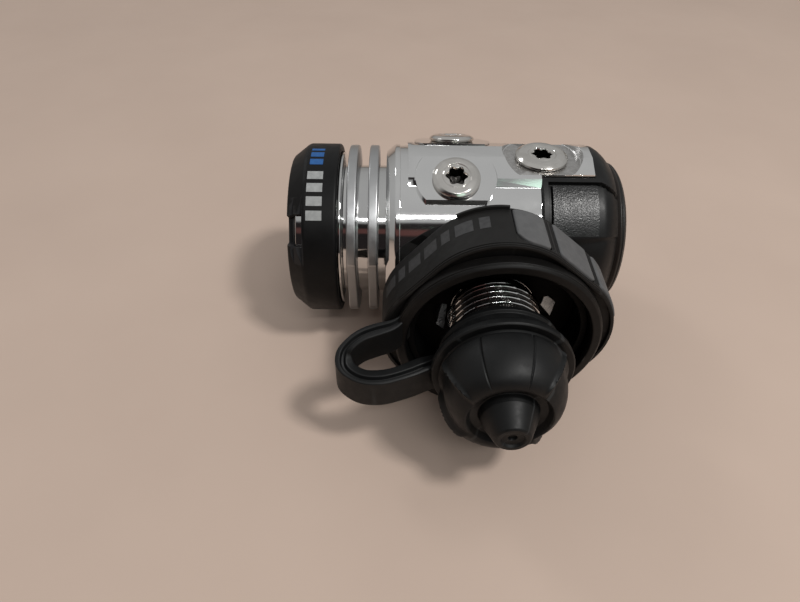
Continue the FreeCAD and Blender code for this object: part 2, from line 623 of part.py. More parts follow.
# ---------------------------------------------------------------- cylinder connector
def make_connector():
    nut_end = D.stem_nut_end
    turned_piece("din_stem", [
        (D.stem_start, D.stem_drill), (D.stem_start, D.stem_thread), (D.stem_nut_start, D.stem_thread),
        (D.stem_nut_start, D.stem_nut), (nut_end, D.stem_nut), (nut_end, D.stem_shaft),
        (D.stem_head_start, D.stem_shaft), (D.stem_head_start, D.stem_head),
        (D.stem_end, D.stem_head), (D.stem_end, D.face_gland_outer),
        (D.face_gland_start, D.face_gland_outer), (D.face_gland_start, D.face_gland_inner),
        (D.stem_end, D.face_gland_inner), (D.stem_end, D.filter_pocket),
        (D.filter_pocket_start, D.filter_pocket), (D.filter_pocket_start, D.stem_drill)],
        on_connector_axis)
    finished.append(seal("stem_oring", D.boss_end - D.stem_seal_depth / 2,
                         (D.stem_thread + D.stem_counterbore) / 2, D.stem_seal_wire, on_connector_axis))
    finished.append(seal("din_face_oring", D.face_gland_start + D.face_seal_wire, D.face_seal,
                         D.face_seal_wire, on_connector_axis))
    base = D.filter_pocket_start + 0.05
    rim = base + D.filter_rim
    turned_piece("din_filter", [
        (base, 0), (base, D.filter_pocket - 0.1), (rim, D.filter_pocket - 0.1),
        (rim, D.clip_inner - 0.15), (base + D.filter_length, D.filter_pocket / 2),
        (base + D.filter_length, 0)], on_connector_axis)
    turned_piece("filter_circlip", tube(
        rim + 0.05, rim + 0.05 + D.clip_thickness, D.clip_radius, D.clip_inner), on_connector_axis)
    retainer = turned_piece("din_retainer", [
        (D.retainer_start, D.retainer_bore), (D.retainer_start, D.retainer_flange),
        (D.retainer_flange_end, D.retainer_flange), (D.retainer_flange_end, D.retainer_neck),
        (D.thread_start, D.retainer_neck), (D.thread_start + 1.2, D.thread_radius),
        (D.retainer_end - 1.2, D.thread_radius), (D.retainer_end, D.retainer_neck),
        (D.retainer_end, D.retainer_counterbore), (D.counterbore_start, D.retainer_counterbore),
        (D.counterbore_start, D.retainer_bore)], on_connector_axis)
    cut_thread(retainer)


def cut_thread(retainer):
    """Equal V grooves stand for the thread's turns, with a flat crest between each two."""
    first = D.thread_start + 1.4
    width = D.thread_pitch - D.thread_flat
    groove = turned(retainer, [
        (first, D.thread_radius + 0.2), (first + width / 2, D.thread_radius - D.thread_depth),
        (first + width, D.thread_radius + 0.2)], True)
    row = retainer.newObject("PartDesign::LinearPattern", "thread_turns")
    row.Originals = [groove]
    row.Direction = (origin_plane(retainer, "X_Axis"), [""])
    bind(row, "Length", D.thread_pitch * (D.thread_turns - 1))
    row.Occurrences = int(D.thread_turns.value)
    retainer.Tip = row


def make_handwheel():
    """A wheel with four round corners and two lots of three soft grips let into its sides."""
    wheel = new_body("handwheel")
    extruded(wheel, lambda sketch: draw_rounded_square(sketch, D.wheel_half, D.wheel_corner),
             across(D.wheel_back, D.wheel_roll.value), D.wheel_front - D.wheel_back)
    beyond = D.wheel_front + 1
    turned(wheel, [
        (D.wheel_back - 1, 0), (D.wheel_back - 1, D.wheel_hollow), (D.wheel_web_start, D.wheel_hollow),
        (D.wheel_web_start, D.wheel_hub), (D.wheel_web_end, D.wheel_hub),
        (D.wheel_web_end, D.wheel_hollow), (beyond, D.wheel_hollow), (beyond, 0)], True)
    turned(wheel, tube(D.wheel_recess_start, beyond, D.wheel_recess, D.wheel_lip), True)
    turned(wheel, tube(D.wheel_recess_start - 1, D.wheel_lip_end, D.wheel_lip, D.wheel_hollow))
    gap = D.grip_gap
    outside = D.grip_floor + 5
    grips = new_body("handwheel_grips")
    grips.AllowCompound = True
    extruded(grips, lambda sketch: draw_rounded_square(
        sketch, D.wheel_half + D.grip_raise, D.wheel_corner + D.grip_raise),
             across(D.grip_back + gap, D.wheel_roll.value), D.grip_front - D.grip_back - gap * 2)
    turned(grips, rod(D.grip_back - 1, D.grip_front + 1, D.grip_floor + gap), True)
    spans = ((D.grip_one, D.grip_one_span), (D.grip_two, D.grip_two_span),
             (D.grip_three, D.grip_three_span))
    for number, (first, span) in enumerate(spans):
        following = spans[number + 1][0].value if number < 2 else spans[0][0].value + 180
        slack = D.grip_slack.value
        for half_turn in (0, 180):
            turned(wheel, tube(D.grip_back, D.grip_front, outside, D.grip_floor), True,
                   rolled(first.value + half_turn), span.value)
            turned(grips, tube(D.grip_back - 1, D.grip_front + 1, outside, D.grip_floor - 1), True,
                   rolled(first.value + span.value - slack + half_turn),
                   following - first.value - span.value + 2 * slack)
    on_connector_axis(wheel)
    on_connector_axis(grips)


def rolled(angle):
    return Placement(Vector(), Rotation(Vector(1, 0, 0), angle))


def make_rubber_protector():
    edge = D.ring_edge
    turned_piece("protector_ring", [
        (D.ring_back, D.ring_bore), (D.ring_back, D.ring_neck), (D.ring_neck_end, D.ring_neck),
        (D.ring_neck_end, D.ring_radius), (D.ring_front - edge, D.ring_radius),
        (D.ring_front, D.ring_radius - edge),
        (D.ring_front, D.ring_bore + edge), (D.ring_front - edge, D.ring_bore)], on_connector_axis)
    turned_piece("protector_cover", [
        (D.cover_back, D.cover_bore), (D.cover_back, D.cover_skirt),
        (D.cover_flange_back, D.cover_skirt), (D.cover_flange_back, D.cover_flange),
        (D.cover_flange_front, D.cover_flange), (D.cover_dome_back, D.cover_dome),
        (D.cover_shoulder, D.cover_shoulder_radius), (D.cover_face, D.cover_face_radius),
        (D.cover_dish, D.cover_face_radius - 1), (D.cover_dish, D.knob_root),
        (D.connector_reach, D.knob_tip), (D.connector_reach, 0),
        (D.cover_floor, 0), (D.cover_floor, D.cover_bore)], on_connector_axis)
    make_strap()


def make_strap():
    """A flat band on edge that leaves the ring, bends round a loop and meets the cover's flange."""
    half = D.strap_thickness.value / 2
    radius = D.strap_loop_radius.value
    root = Vector(-(D.ring_radius.value + half + 0.1), -D.strap_root_reach.value, 0)
    end = Vector(-(D.cover_flange.value + half + 0.2), -D.strap_end_reach.value, 0)
    centre = Vector(-D.strap_loop_x.value, -D.strap_loop_reach.value, 0)
    leave = tangent_point(root, centre, radius, 1)
    meet = tangent_point(end, centre, radius, -1)
    path = Part.Wire([Part.makeLine(root, leave),
                      Part.Arc(leave, centre - Vector(radius, 0, 0), meet).toShape(),
                      Part.makeLine(meet, end)])
    outline = path.makeOffset2D(half, 0, False, False)
    band = Part.Face(outline).extrude(Vector(0, 0, D.strap_height.value))
    band.translate(Vector(0, 0, D.strap_top.value - D.strap_height.value))
    strap = doc.addObject("Part::Feature", "cap_strap")
    strap.Label = "cap_strap"
    strap.Shape = band
    place_on_row(strap, LEFT + D.at_connector, MIDDLE_Y, D.axis_height, Rotation())
    finished.append(strap)


def tangent_point(point, centre, radius, side):
    """Where a line from a point touches a circle, on the side asked for."""
    across_gap = point - centre
    reach = across_gap.Length
    turn = side * acos(radius / reach)
    start = atan2(across_gap.y, across_gap.x)
    return centre + Vector(cos(start + turn), sin(start + turn), 0) * radius


# ---------------------------------------------------------------- build, check and write
def build():
    make_regulator_body()
    make_environmental_cap()
    make_clamp()
    make_sensing_pieces()
    make_valve()
    make_protector()
    make_plugs()
    make_connector()
    make_handwheel()
    make_rubber_protector()
    doc.recompute()


def check():
    for thing in doc.Objects:
        if "Invalid" in thing.State or "Error" in thing.State:
            raise RuntimeError("%s failed: %s" % (thing.Label, thing.getStatusString()))
    for piece in finished:
        if piece.Shape.isNull() or not piece.Shape.isValid() or not piece.Shape.Solids:
            raise RuntimeError(piece.Label + " has no valid solid")


def write():
    os.makedirs("parts", exist_ok=True)
    box = FreeCAD.BoundBox()
    for piece in finished:
        piece.Shape.exportStep("parts/%s.step" % piece.Label)
        box.add(piece.Shape.BoundBox)
        print("%-22s %d solid(s) %9.1f mm3" % (piece.Label, len(piece.Shape.Solids), piece.Shape.Volume))
    print("box", box)


build()
check()
write()
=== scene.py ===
"""Looks of a scuba regulator first stage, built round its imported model.

Pieces are drawn in millimetres in the frame of the axis they stand on, and placed once, at the end.
On the body: (station from the cap's outer face, forward, up), angles from forward towards up.
On the connector: (reach from the body's axis, right, up), angles from right towards up.
On a port: (height above the body's axis, along the body, across it).
"""
import json
from math import acos, asin, cos, degrees, exp, hypot, pi, radians, sin, sqrt, tan

import bmesh
import bpy
from mathutils import Matrix, Vector

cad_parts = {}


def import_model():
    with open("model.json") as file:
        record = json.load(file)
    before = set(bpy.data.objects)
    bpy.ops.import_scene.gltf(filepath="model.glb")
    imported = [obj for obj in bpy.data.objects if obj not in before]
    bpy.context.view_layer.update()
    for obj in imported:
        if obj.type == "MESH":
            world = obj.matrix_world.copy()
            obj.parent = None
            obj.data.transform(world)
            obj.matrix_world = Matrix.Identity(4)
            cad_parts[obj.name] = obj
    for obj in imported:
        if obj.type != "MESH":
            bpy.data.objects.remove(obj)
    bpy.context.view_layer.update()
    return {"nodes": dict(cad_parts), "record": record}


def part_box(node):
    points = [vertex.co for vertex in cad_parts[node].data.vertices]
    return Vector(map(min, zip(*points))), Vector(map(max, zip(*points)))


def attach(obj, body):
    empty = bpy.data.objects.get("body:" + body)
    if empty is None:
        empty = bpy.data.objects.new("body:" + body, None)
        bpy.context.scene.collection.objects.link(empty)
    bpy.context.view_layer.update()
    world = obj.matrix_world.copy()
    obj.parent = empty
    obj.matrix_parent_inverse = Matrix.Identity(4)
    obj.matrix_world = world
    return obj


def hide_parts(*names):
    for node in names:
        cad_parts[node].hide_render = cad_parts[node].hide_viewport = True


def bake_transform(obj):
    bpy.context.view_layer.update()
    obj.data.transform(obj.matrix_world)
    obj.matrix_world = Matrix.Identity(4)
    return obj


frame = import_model()

MM = 0.001
UP, RIGHT, FORWARD = Vector((0, 0, 1)), Vector((1, 0, 0)), Vector((0, -1, 0))


# ---------------------------------------------------------------- where the axes lie
def placed(origin, x, y, z):
    """From millimetres along three directions to metres in the row's frame."""
    turn = Matrix((x, y, z)).transposed().to_4x4()
    return Matrix.Translation(origin) @ turn @ Matrix.Scale(MM, 4)


cap_low, cap_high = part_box("environmental_cap")
wheel_low, wheel_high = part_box("handwheel")
AXIS = Vector((cap_low.x, (cap_low.y + cap_high.y) / 2, (cap_low.z + cap_high.z) / 2))
CROSSING = Vector(((wheel_low.x + wheel_high.x) / 2, AXIS.y, AXIS.z))
BODY = placed(AXIS, RIGHT, FORWARD, UP)
CONNECTOR = placed(CROSSING, FORWARD, RIGHT, UP)
CONNECTOR_STATION = (CROSSING.x - AXIS.x) / MM


def port_frame(station, tilt, forward, up):
    """In the body's millimetres: x out along the port, y along the body."""
    out = Vector((0, forward * sin(radians(tilt)), up * cos(radians(tilt))))
    along = Vector((1, 0, 0))
    turn = Matrix((out, along, out.cross(along))).transposed().to_4x4()
    return Matrix.Translation((station, 0, 0)) @ turn


# ---------------------------------------------------------------- materials
def node(tree, kind, **values):
    made = tree.nodes.new(kind)
    for name, value in values.items():
        if name in made.inputs:
            made.inputs[name].default_value = value
        else:
            setattr(made, name, value)
    return made


def noise(tree, coordinates, size_mm, detail=3.0):
    """Noise whose features are about size_mm across, as a value round a half."""
    made = node(tree, "ShaderNodeTexNoise", Scale=1 / (size_mm * MM), Detail=detail)
    tree.links.new(coordinates, made.inputs["Vector"])
    return made.outputs["Fac"]


def mapped(tree, value, low, high, start=0.3, end=0.7):
    made = node(tree, "ShaderNodeMapRange")
    for name, number in (("From Min", start), ("From Max", end), ("To Min", low), ("To Max", high)):
        made.inputs[name].default_value = number
    tree.links.new(value, made.inputs["Value"])
    return made.outputs["Result"]


def material(name, dark, light, rough, metallic=0.0, blotch=6.0, grain=(0.25, 0.01), wear=None,
             coat=0.0, streak=None, sheen=0.0, specular=0.5):
    """A Principled surface with blotches, grain in its gloss and height, streaks and worn edges."""
    made = bpy.data.materials.new(name)
    made.use_nodes = True
    tree = made.node_tree
    shader = tree.nodes["Principled BSDF"]
    shader.inputs["Metallic"].default_value = metallic
    shader.inputs["Coat Weight"].default_value = coat
    shader.inputs["Sheen Weight"].default_value = sheen
    shader.inputs["Specular IOR Level"].default_value = specular
    place = tree.nodes.new("ShaderNodeTexCoord").outputs["Object"]
    if streak:
        stretch = node(tree, "ShaderNodeMapping")
        stretch.inputs["Scale"].default_value = streak
        tree.links.new(place, stretch.inputs["Vector"])
        place_streaked = stretch.outputs["Vector"]
    else:
        place_streaked = place
    ramp = node(tree, "ShaderNodeValToRGB")
    ramp.color_ramp.elements[0].position = 0.32
    ramp.color_ramp.elements[0].color = (*dark, 1)
    ramp.color_ramp.elements[1].position = 0.7
    ramp.color_ramp.elements[1].color = (*light, 1)
    tree.links.new(noise(tree, place_streaked, blotch, 5), ramp.inputs["Fac"])
    colour = ramp.outputs["Color"]
    if wear:
        edge = node(tree, "ShaderNodeNewGeometry").outputs["Pointiness"]
        mix = node(tree, "ShaderNodeMix", data_type="RGBA")
        tree.links.new(mapped(tree, edge, 0.0, 0.7, 0.53, 0.63), mix.inputs[0])
        tree.links.new(colour, mix.inputs[6])
        mix.inputs[7].default_value = (*wear, 1)
        colour = mix.outputs[2]
    tree.links.new(colour, shader.inputs["Base Color"])
    size, height = grain
    fine = noise(tree, place_streaked, size, 2)
    gloss = mapped(tree, noise(tree, place_streaked, blotch / 3, 4), *rough)
    tree.links.new(gloss, shader.inputs["Roughness"])
    bump = node(tree, "ShaderNodeBump", Strength=1.0, Distance=height * MM)
    tree.links.new(fine, bump.inputs["Height"])
    tree.links.new(bump.outputs["Normal"], shader.inputs["Normal"])
    return made


LOOKS = {
    "chrome_body": material("polished_chrome", (0.72, 0.72, 0.72), (0.76, 0.76, 0.755), (0.05, 0.085), 1.0,
                            9, (0.35, 0.0012)),
    "satin_chrome": material("satin_chrome", (0.44, 0.445, 0.45), (0.48, 0.485, 0.49), (0.32, 0.42), 1.0,
                             7, (0.22, 0.003)),
    "neck_chrome": material("neck_chrome", (0.60, 0.60, 0.60), (0.65, 0.65, 0.64), (0.05, 0.08), 1.0,
                            9, (0.4, 0.0006)),
    "plug_chrome": material("plug_chrome", (0.62, 0.60, 0.57), (0.72, 0.70, 0.67), (0.08, 0.17), 1.0,
                            3, (0.2, 0.0022)),
    "pocket_chrome": material("pocket_chrome", (0.42, 0.41, 0.40), (0.56, 0.55, 0.54), (0.24, 0.38), 1.0,
                              1.2, (0.3, 0.02)),
    # Painted shade: near-black chrome for the plug sockets and the thread's roots, darkened where shade
    # falls in the recesses.
    "painted_shade_chrome": material("painted_shade_chrome", (0.035, 0.033, 0.032), (0.07, 0.066, 0.062), (0.22, 0.34), 1.0,
                            1.5, (0.2, 0.006)),
    "cap_plastic": material("cap_plastic", (0.0022, 0.0022, 0.0024), (0.0038, 0.0038, 0.0041), (0.42, 0.52),
                            grain=(0.35, 0.012), wear=(0.025, 0.025, 0.027), specular=0.2),
    "smooth_plastic": material("smooth_plastic", (0.003, 0.003, 0.0032), (0.005, 0.005, 0.0052),
                               (0.36, 0.48), grain=(0.3, 0.006), wear=(0.025, 0.025, 0.025), specular=0.28),
    "grained_plastic": material("grained_plastic", (0.005, 0.005, 0.0055), (0.009, 0.009, 0.0095),
                                (0.26, 0.36), grain=(0.42, 0.085), wear=(0.025, 0.025, 0.025),
                                specular=0.45),
    "wheel_plastic": material("wheel_plastic", (0.006, 0.0055, 0.0052), (0.0095, 0.0088, 0.0084),
                              (0.5, 0.62), grain=(0.3, 0.008), wear=(0.03, 0.028, 0.027), specular=0.26),
    # Painted shade: a darker, less glossy black for the insides of the wheel and the rubber ring, where
    # shade falls.
    "painted_shade_black": material("painted_shade_black", (0.0012, 0.0012, 0.0012), (0.002, 0.002, 0.002), (0.5, 0.6),
                            grain=(0.3, 0.008), specular=0.08),
    "grey_grip": material("grey_grip", (0.088, 0.088, 0.09), (0.108, 0.108, 0.11), (0.62, 0.78),
                          grain=(0.28, 0.02), blotch=2.5, specular=0.3),
    "end_rubber": material("end_rubber", (0.0075, 0.0068, 0.0065), (0.0115, 0.0105, 0.010), (0.34, 0.46),
                           grain=(0.4, 0.005), specular=0.35),
    # Painted sheen: a brown tint for the end disc's outer lip.
    "painted_brown_sheen": material("painted_brown_sheen", (0.013, 0.010, 0.0085), (0.02, 0.0155, 0.0135), (0.32, 0.44),
                           grain=(0.4, 0.006), specular=0.3),
    "black_rubber": material("black_rubber", (0.0030, 0.0032, 0.0034), (0.0052, 0.0055, 0.0058),
                             (0.42, 0.56), grain=(0.3, 0.008), wear=(0.03, 0.032, 0.033), specular=0.27),
    "ring_rubber": material("ring_rubber", (0.0034, 0.0030, 0.0028), (0.006, 0.0054, 0.005), (0.4, 0.54),
                            grain=(0.3, 0.01), wear=(0.055, 0.051, 0.048), streak=(1, 3, 1), specular=0.22),
    "printed_white": material("printed_white", (0.27, 0.28, 0.28), (0.36, 0.37, 0.37), (0.5, 0.6),
                              grain=(0.3, 0.006), blotch=1.2),
    "printed_blue": material("printed_blue", (0.006, 0.07, 0.24), (0.009, 0.10, 0.32), (0.5, 0.6),
                             grain=(0.3, 0.006), blotch=1.2),
    "printed_grey": material("printed_grey", (0.036, 0.036, 0.037), (0.055, 0.055, 0.057), (0.5, 0.6),
                             grain=(0.3, 0.006), blotch=1.2, specular=0.3),
    "soft_rubber": material("soft_rubber", (0.015, 0.015, 0.015), (0.028, 0.028, 0.028), (0.45, 0.6)),
    "spring_steel": material("spring_steel", (0.42, 0.42, 0.42), (0.56, 0.56, 0.56), (0.22, 0.34), 1.0),
    "plain_brass": material("plain_brass", (0.60, 0.43, 0.18), (0.75, 0.56, 0.27), (0.18, 0.3), 1.0),
    "sintered_bronze": material("sintered_bronze", (0.38, 0.25, 0.12), (0.56, 0.38, 0.2), (0.5, 0.7), 1.0,
                                2, (0.25, 0.06)),
    "inner_plastic": material("inner_plastic", (0.62, 0.62, 0.58), (0.72, 0.72, 0.69), (0.4, 0.5)),
}
LOOKS["black_plastic"] = LOOKS["smooth_plastic"]


# ---------------------------------------------------------------- ways of making meshes
def rounded(corners, closed=False, steps=4):
    """Round each corner (along, radius, fillet) of an outline that is given in millimetres."""
    out = []
    for i, corner in enumerate(corners):
        here = Vector(corner[:2])
        fillet = corner[2] if len(corner) > 2 else 0
        if not fillet or (not closed and i in (0, len(corners) - 1)):
            out.append(tuple(here))
            continue
        before = Vector(corners[i - 1][:2]) - here
        after = Vector(corners[(i + 1) % len(corners)][:2]) - here
        wanted = fillet / max(tan(before.angle(after) / 2), 1e-6)
        reach = min(wanted, before.length * 0.49, after.length * 0.49)
        start = here + before.normalized() * reach
        end = here + after.normalized() * reach
        for k in range(steps + 1):
            t = k / steps
            out.append(tuple(start * (1 - t) ** 2 + here * (2 * t * (1 - t)) + end * t ** 2))
    return out


def skin(rows, around=True, closed=False):
    """A mesh through rows of points, closed from row to row (around) and along each row."""
    shape = bmesh.new()
    made = [[shape.verts.new(p) for p in row] for row in rows]
    for i in range(len(made) if around else len(made) - 1):
        here, there = made[i], made[(i + 1) % len(made)]
        for j in range(len(here) if closed else len(here) - 1):
            k = (j + 1) % len(here)
            shape.faces.new((here[j], here[k], there[k], there[j]))
    if not around:
        for row in (made[0], made[-1]):
            shape.faces.new(row)
    bmesh.ops.remove_doubles(shape, verts=shape.verts, dist=1e-4)
    bmesh.ops.recalc_face_normals(shape, faces=shape.faces)
    return shape


def angles_round(count, *extra):
    """Even angles round the circle in degrees, with some extra ones between them."""
    return sorted({round(360 * i / count, 4) for i in range(count)} | {round(a % 360, 4) for a in extra})


def polar(section, angles=None, closed=False, around=True):
    """A turned solid. Its section is a list of (along, radius), or gives one for an angle in degrees."""
    rows = []
    for angle in angles or angles_round(192):
        points = section(angle) if callable(section) else section
        rows.append([(x, r * cos(radians(angle)), r * sin(radians(angle))) for x, r in points])
    return skin(rows, around, closed)


def prism(outline, start, end):
    """A straight bar along x with an outline of (y, z) points."""
    return skin([[(x, y, z) for y, z in outline] for x in (start, end)], around=False, closed=True)


def turned_by(shape, matrix):
    bmesh.ops.transform(shape, matrix=matrix, verts=shape.verts)
    bmesh.ops.recalc_face_normals(shape, faces=shape.faces)
    return shape


def loose_object(shape):
    mesh = bpy.data.meshes.new("tool")
    shape.to_mesh(mesh)
    shape.free()
    made = bpy.data.objects.new("tool", mesh)
    bpy.context.scene.collection.objects.link(made)
    return made


def boolean(shape, tools, operation):
    """Unite a mesh with tools, or cut it by them."""
    base = loose_object(shape)
    others = [loose_object(tool) for tool in tools]
    for other in others:
        modifier = base.modifiers.new("step", "BOOLEAN")
        modifier.operation = operation
        modifier.solver = "EXACT"
        modifier.object = other
    bpy.context.view_layer.update()
    mesh = bpy.data.meshes.new_from_object(base.evaluated_get(bpy.context.evaluated_depsgraph_get()))
    result = bmesh.new()
    result.from_mesh(mesh)
    for done in (base, *others):
        bpy.data.objects.remove(done)
    bmesh.ops.remove_doubles(result, verts=result.verts, dist=1e-3)
    bmesh.ops.dissolve_degenerate(result, edges=result.edges, dist=1e-4)
    return result


def piece(name, shape, place, body, look, replaces=(), bevel=0.0, sharp=36, second=None):
    """Place a mesh, give it its material and normals, and let it ride on its body."""
    turned_by(shape, place)
    mesh = bpy.data.meshes.new(name)
    shape.to_mesh(mesh)
    shape.free()
    mesh.materials.append(LOOKS[look])
    if second:
        other, belongs = second
        mesh.materials.append(LOOKS[other])
        for face in mesh.polygons:
            face.material_index = int(belongs(place.inverted() @ face.center))
    mesh.shade_smooth()
    mesh.set_sharp_from_angle(angle=radians(sharp))
    made = bpy.data.objects.new(name, mesh)
    bpy.context.scene.collection.objects.link(made)
    if bevel:
        modifier = made.modifiers.new("edges", "BEVEL")
        modifier.width = bevel * MM
        modifier.segments = 2
        modifier.limit_method = "ANGLE"
        modifier.angle_limit = radians(30)
        modifier.miter_outer = "MITER_ARC"
    normals = made.modifiers.new("normals", "WEIGHTED_NORMAL")
    normals.keep_sharp = True
    normals.weight = 80
    if body:
        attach(made, body)
    if replaces:
        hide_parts(*replaces)
    return made


def smooth_step(value):
    value = min(max(value, 0.0), 1.0)
    return value * value * (3 - 2 * value)


# ---------------------------------------------------------------- environmental cap and neck
CAP_RADIUS, CAP_END = 23.6, 12.95
WINDOW_ANGLES = (34.3, 154.3, 274.3)
WHITE_BARS, BLUE_BARS = ((41, 47), (50, 56), (59, 65), (68, 74)), ((80, 85.5), (88, 93.5), (96, 99))
# Each window's cuts: half its angle, inner radius, and the stations where it starts and ends.
WINDOW_LEVELS = ((24.5, 20.0, 0.9, 1.9), (24.5, 21.7, 0.9, 4.2), (11.0, 16.5, -1.0, 4.2))


def patch(radius, span, reach, height=0.05, count=8):
    """A thin printed mark on a turned face, given the face's radius at an angle."""
    low, high = span
    rows = []
    for i in range(count + 1):
        angle = low + (high - low) * i / count
        c, s, r = cos(radians(angle)), sin(radians(angle)), radius(angle)
        rows.append([(x, q * c, q * s) for x, q in ((reach[0], r - 0.1), (reach[0], r + height),
                                                    (reach[1], r + height), (reach[1], r - 0.1))])
    return skin(rows, around=False, closed=True)


def joined(shapes):
    """Several meshes as one."""
    whole = bmesh.new()
    for shape in shapes:
        mesh = bpy.data.meshes.new("part")
        shape.to_mesh(mesh)
        shape.free()
        whole.from_mesh(mesh)
        bpy.data.meshes.remove(mesh)
    return whole


def cap():
    shell = polar(rounded([
        (0, 0), (0, 20.2, 1.1), (4.35, CAP_RADIUS, 2.2), (CAP_END, CAP_RADIUS, 0.8),
        (CAP_END, 21.6, 0.3), (CAP_END - 0.9, 21.5, 0.1), (CAP_END - 0.9, 20.8, 0.1), (1.95, 20.8),
        (1.95, 17.4), (1.1, 17.4), (1.1, 0)]))
    tools = []
    for middle in WINDOW_ANGLES:
        for half, inner, start, end in WINDOW_LEVELS:
            edge = inner / cos(radians(half))
            outline = [(r * cos(radians(a)), r * sin(radians(a)))
                       for r, a in ((edge, -half), (28, -half), (28, half), (edge, half))]
            tools.append(turned_by(prism(outline, start, end), Matrix.Rotation(radians(middle), 4, "X")))
    piece("cap_moulding", boolean(shell, tools, "DIFFERENCE"), BODY, "regulator", "cap_plastic",
          ("environmental_cap",), bevel=0.28)

    def marks(spans, reach):
        return joined([patch(lambda angle: CAP_RADIUS, span, reach) for span in spans])
    piece("cap_marks_white", marks(WHITE_BARS, (5.3, 9.3)), BODY, "regulator", "printed_white")
    piece("cap_marks_blue", marks(BLUE_BARS, (5.6, 9.0)), BODY, "regulator", "printed_blue")


FINS, FIN_WIDTH, FIN_RADIUS, NECK_RADIUS = (15.35, 20.85), 2.5, 23.35, 17.85
FIN_FLAT, FLAT_MIDDLES = 21.75, (-9, 171)


def fin_trim(angle):
    """How far a fin's rim is cut back by its wrench flats."""
    trims = [FIN_RADIUS - FIN_FLAT / cos(radians(angle - middle)) for middle in FLAT_MIDDLES
             if cos(radians(angle - middle)) > 0.5]
    return max([0.0] + trims)


def fin(start):
    def section(angle):
        rim = FIN_RADIUS - fin_trim(angle)
        end = start + FIN_WIDTH
        return rounded([(start, NECK_RADIUS - 0.4), (start, rim, 0.45), (end, rim, 0.45),
                        (end, NECK_RADIUS - 0.4)], closed=True)
    half = degrees(acos(FIN_FLAT / FIN_RADIUS))
    ends = [m + s * half for m in FLAT_MIDDLES for s in (-1, 1)]
    return polar(section, angles_round(192, *ends), closed=True)


def neck():
    rings = [(2.2, 15.0), (2.2, 20.4, 0.3), (13.05, 20.4), (13.05, 21.3, 0.15), (13.85, 21.3, 0.25),
             (14.05, NECK_RADIUS, 0.2), (25.35, NECK_RADIUS), (32.5, 17.8), (32.5, 15.0)]
    piece("neck_tube", polar(rounded(rings, closed=True), closed=True), BODY, "regulator", "neck_chrome",
          ("diaphragm_clamp",))
    for number, start in enumerate(FINS, start=1):
        piece("neck_fin_%d" % number, fin(start), BODY, "regulator", "satin_chrome")


# ---------------------------------------------------------------- valve body
ROOF = ((10.3, 21.0), (8.95, 22.85), (2.7, 25.4))
CROWN = ((7.75, 23.47), (2.7, 25.5))
SHELL_START, CROWN_END, ROOF_BASE, ROOF_START = 64.95, 78.65, 18.6, 31.0
GROOVE_WIDTH, GROOVE_DEPTH, CLEAR_OF_BODY = 0.22, 0.75, 30
LOW_STATION, LOW_TILT, LOW_FACE = 43.1, 23, 24.9
FACET_RADIUS, FACET_SHIFT, FACET_TOP, FACET_BOTTOM = 10.3, 0.7, 6.9, 6.15
HIGH_STATION, HIGH_FACE, SPOT_RADIUS = 66.1, 23.3, 10.5
LOW_BORE = ((10.5, 0), (10.5, 4.3), (23.6, 4.3), (23.6, 5.6), (CLEAR_OF_BODY, 5.6), (CLEAR_OF_BODY, 0))
HIGH_BORE = ((12.5, 0), (12.5, 5.0), (22.0, 5.0), (22.0, 6.1), (CLEAR_OF_BODY, 6.1), (CLEAR_OF_BODY, 0))
STEM_BORE = ((5, 0), (5, 2.5), (14.2, 2.5), (14.2, 7.96), (25, 7.96), (25, 9.3), (CLEAR_OF_BODY, 9.3),
             (CLEAR_OF_BODY, 0))


def gable(half):
    """A roof's outline from the points of one side."""
    side = [(half[0][0], ROOF_BASE - 3)] + list(half)
    return side + [(-y, z) for y, z in reversed(side)]


def flattened_circle(side, more=0.0, count=24):
    """A port's facet: a circle cut straight above and below, with its lower cut on one side."""
    points = []
    radius = FACET_RADIUS + more
    low = asin((FACET_SHIFT - FACET_TOP) / radius)
    high = asin((FACET_SHIFT + FACET_BOTTOM) / radius)
    for turn in (1, -1):
        for i in range(count + 1):
            angle = (low + (high - low) * i / count) if turn > 0 else (high + (low - high) * i / count)
            points.append((turn * radius * cos(angle), side * (radius * sin(angle) - FACET_SHIFT)))
    return points


def on_pocket(at):
    """Whether a point is on a high port's floor or on the straight wall under a low port's facet."""
    if abs(abs(at.z) - HIGH_FACE) < 0.02:
        return hypot(at.x - HIGH_STATION, at.y) < SPOT_RADIUS - 0.3
    up, forward = (1 if at.z > 0 else -1), (1 if at.y > 0 else -1)
    here = port_frame(LOW_STATION, LOW_TILT, forward, up).inverted() @ at
    return abs(here.z * forward * up - FACET_BOTTOM) < 0.05 and abs(here.y) < FACET_RADIUS


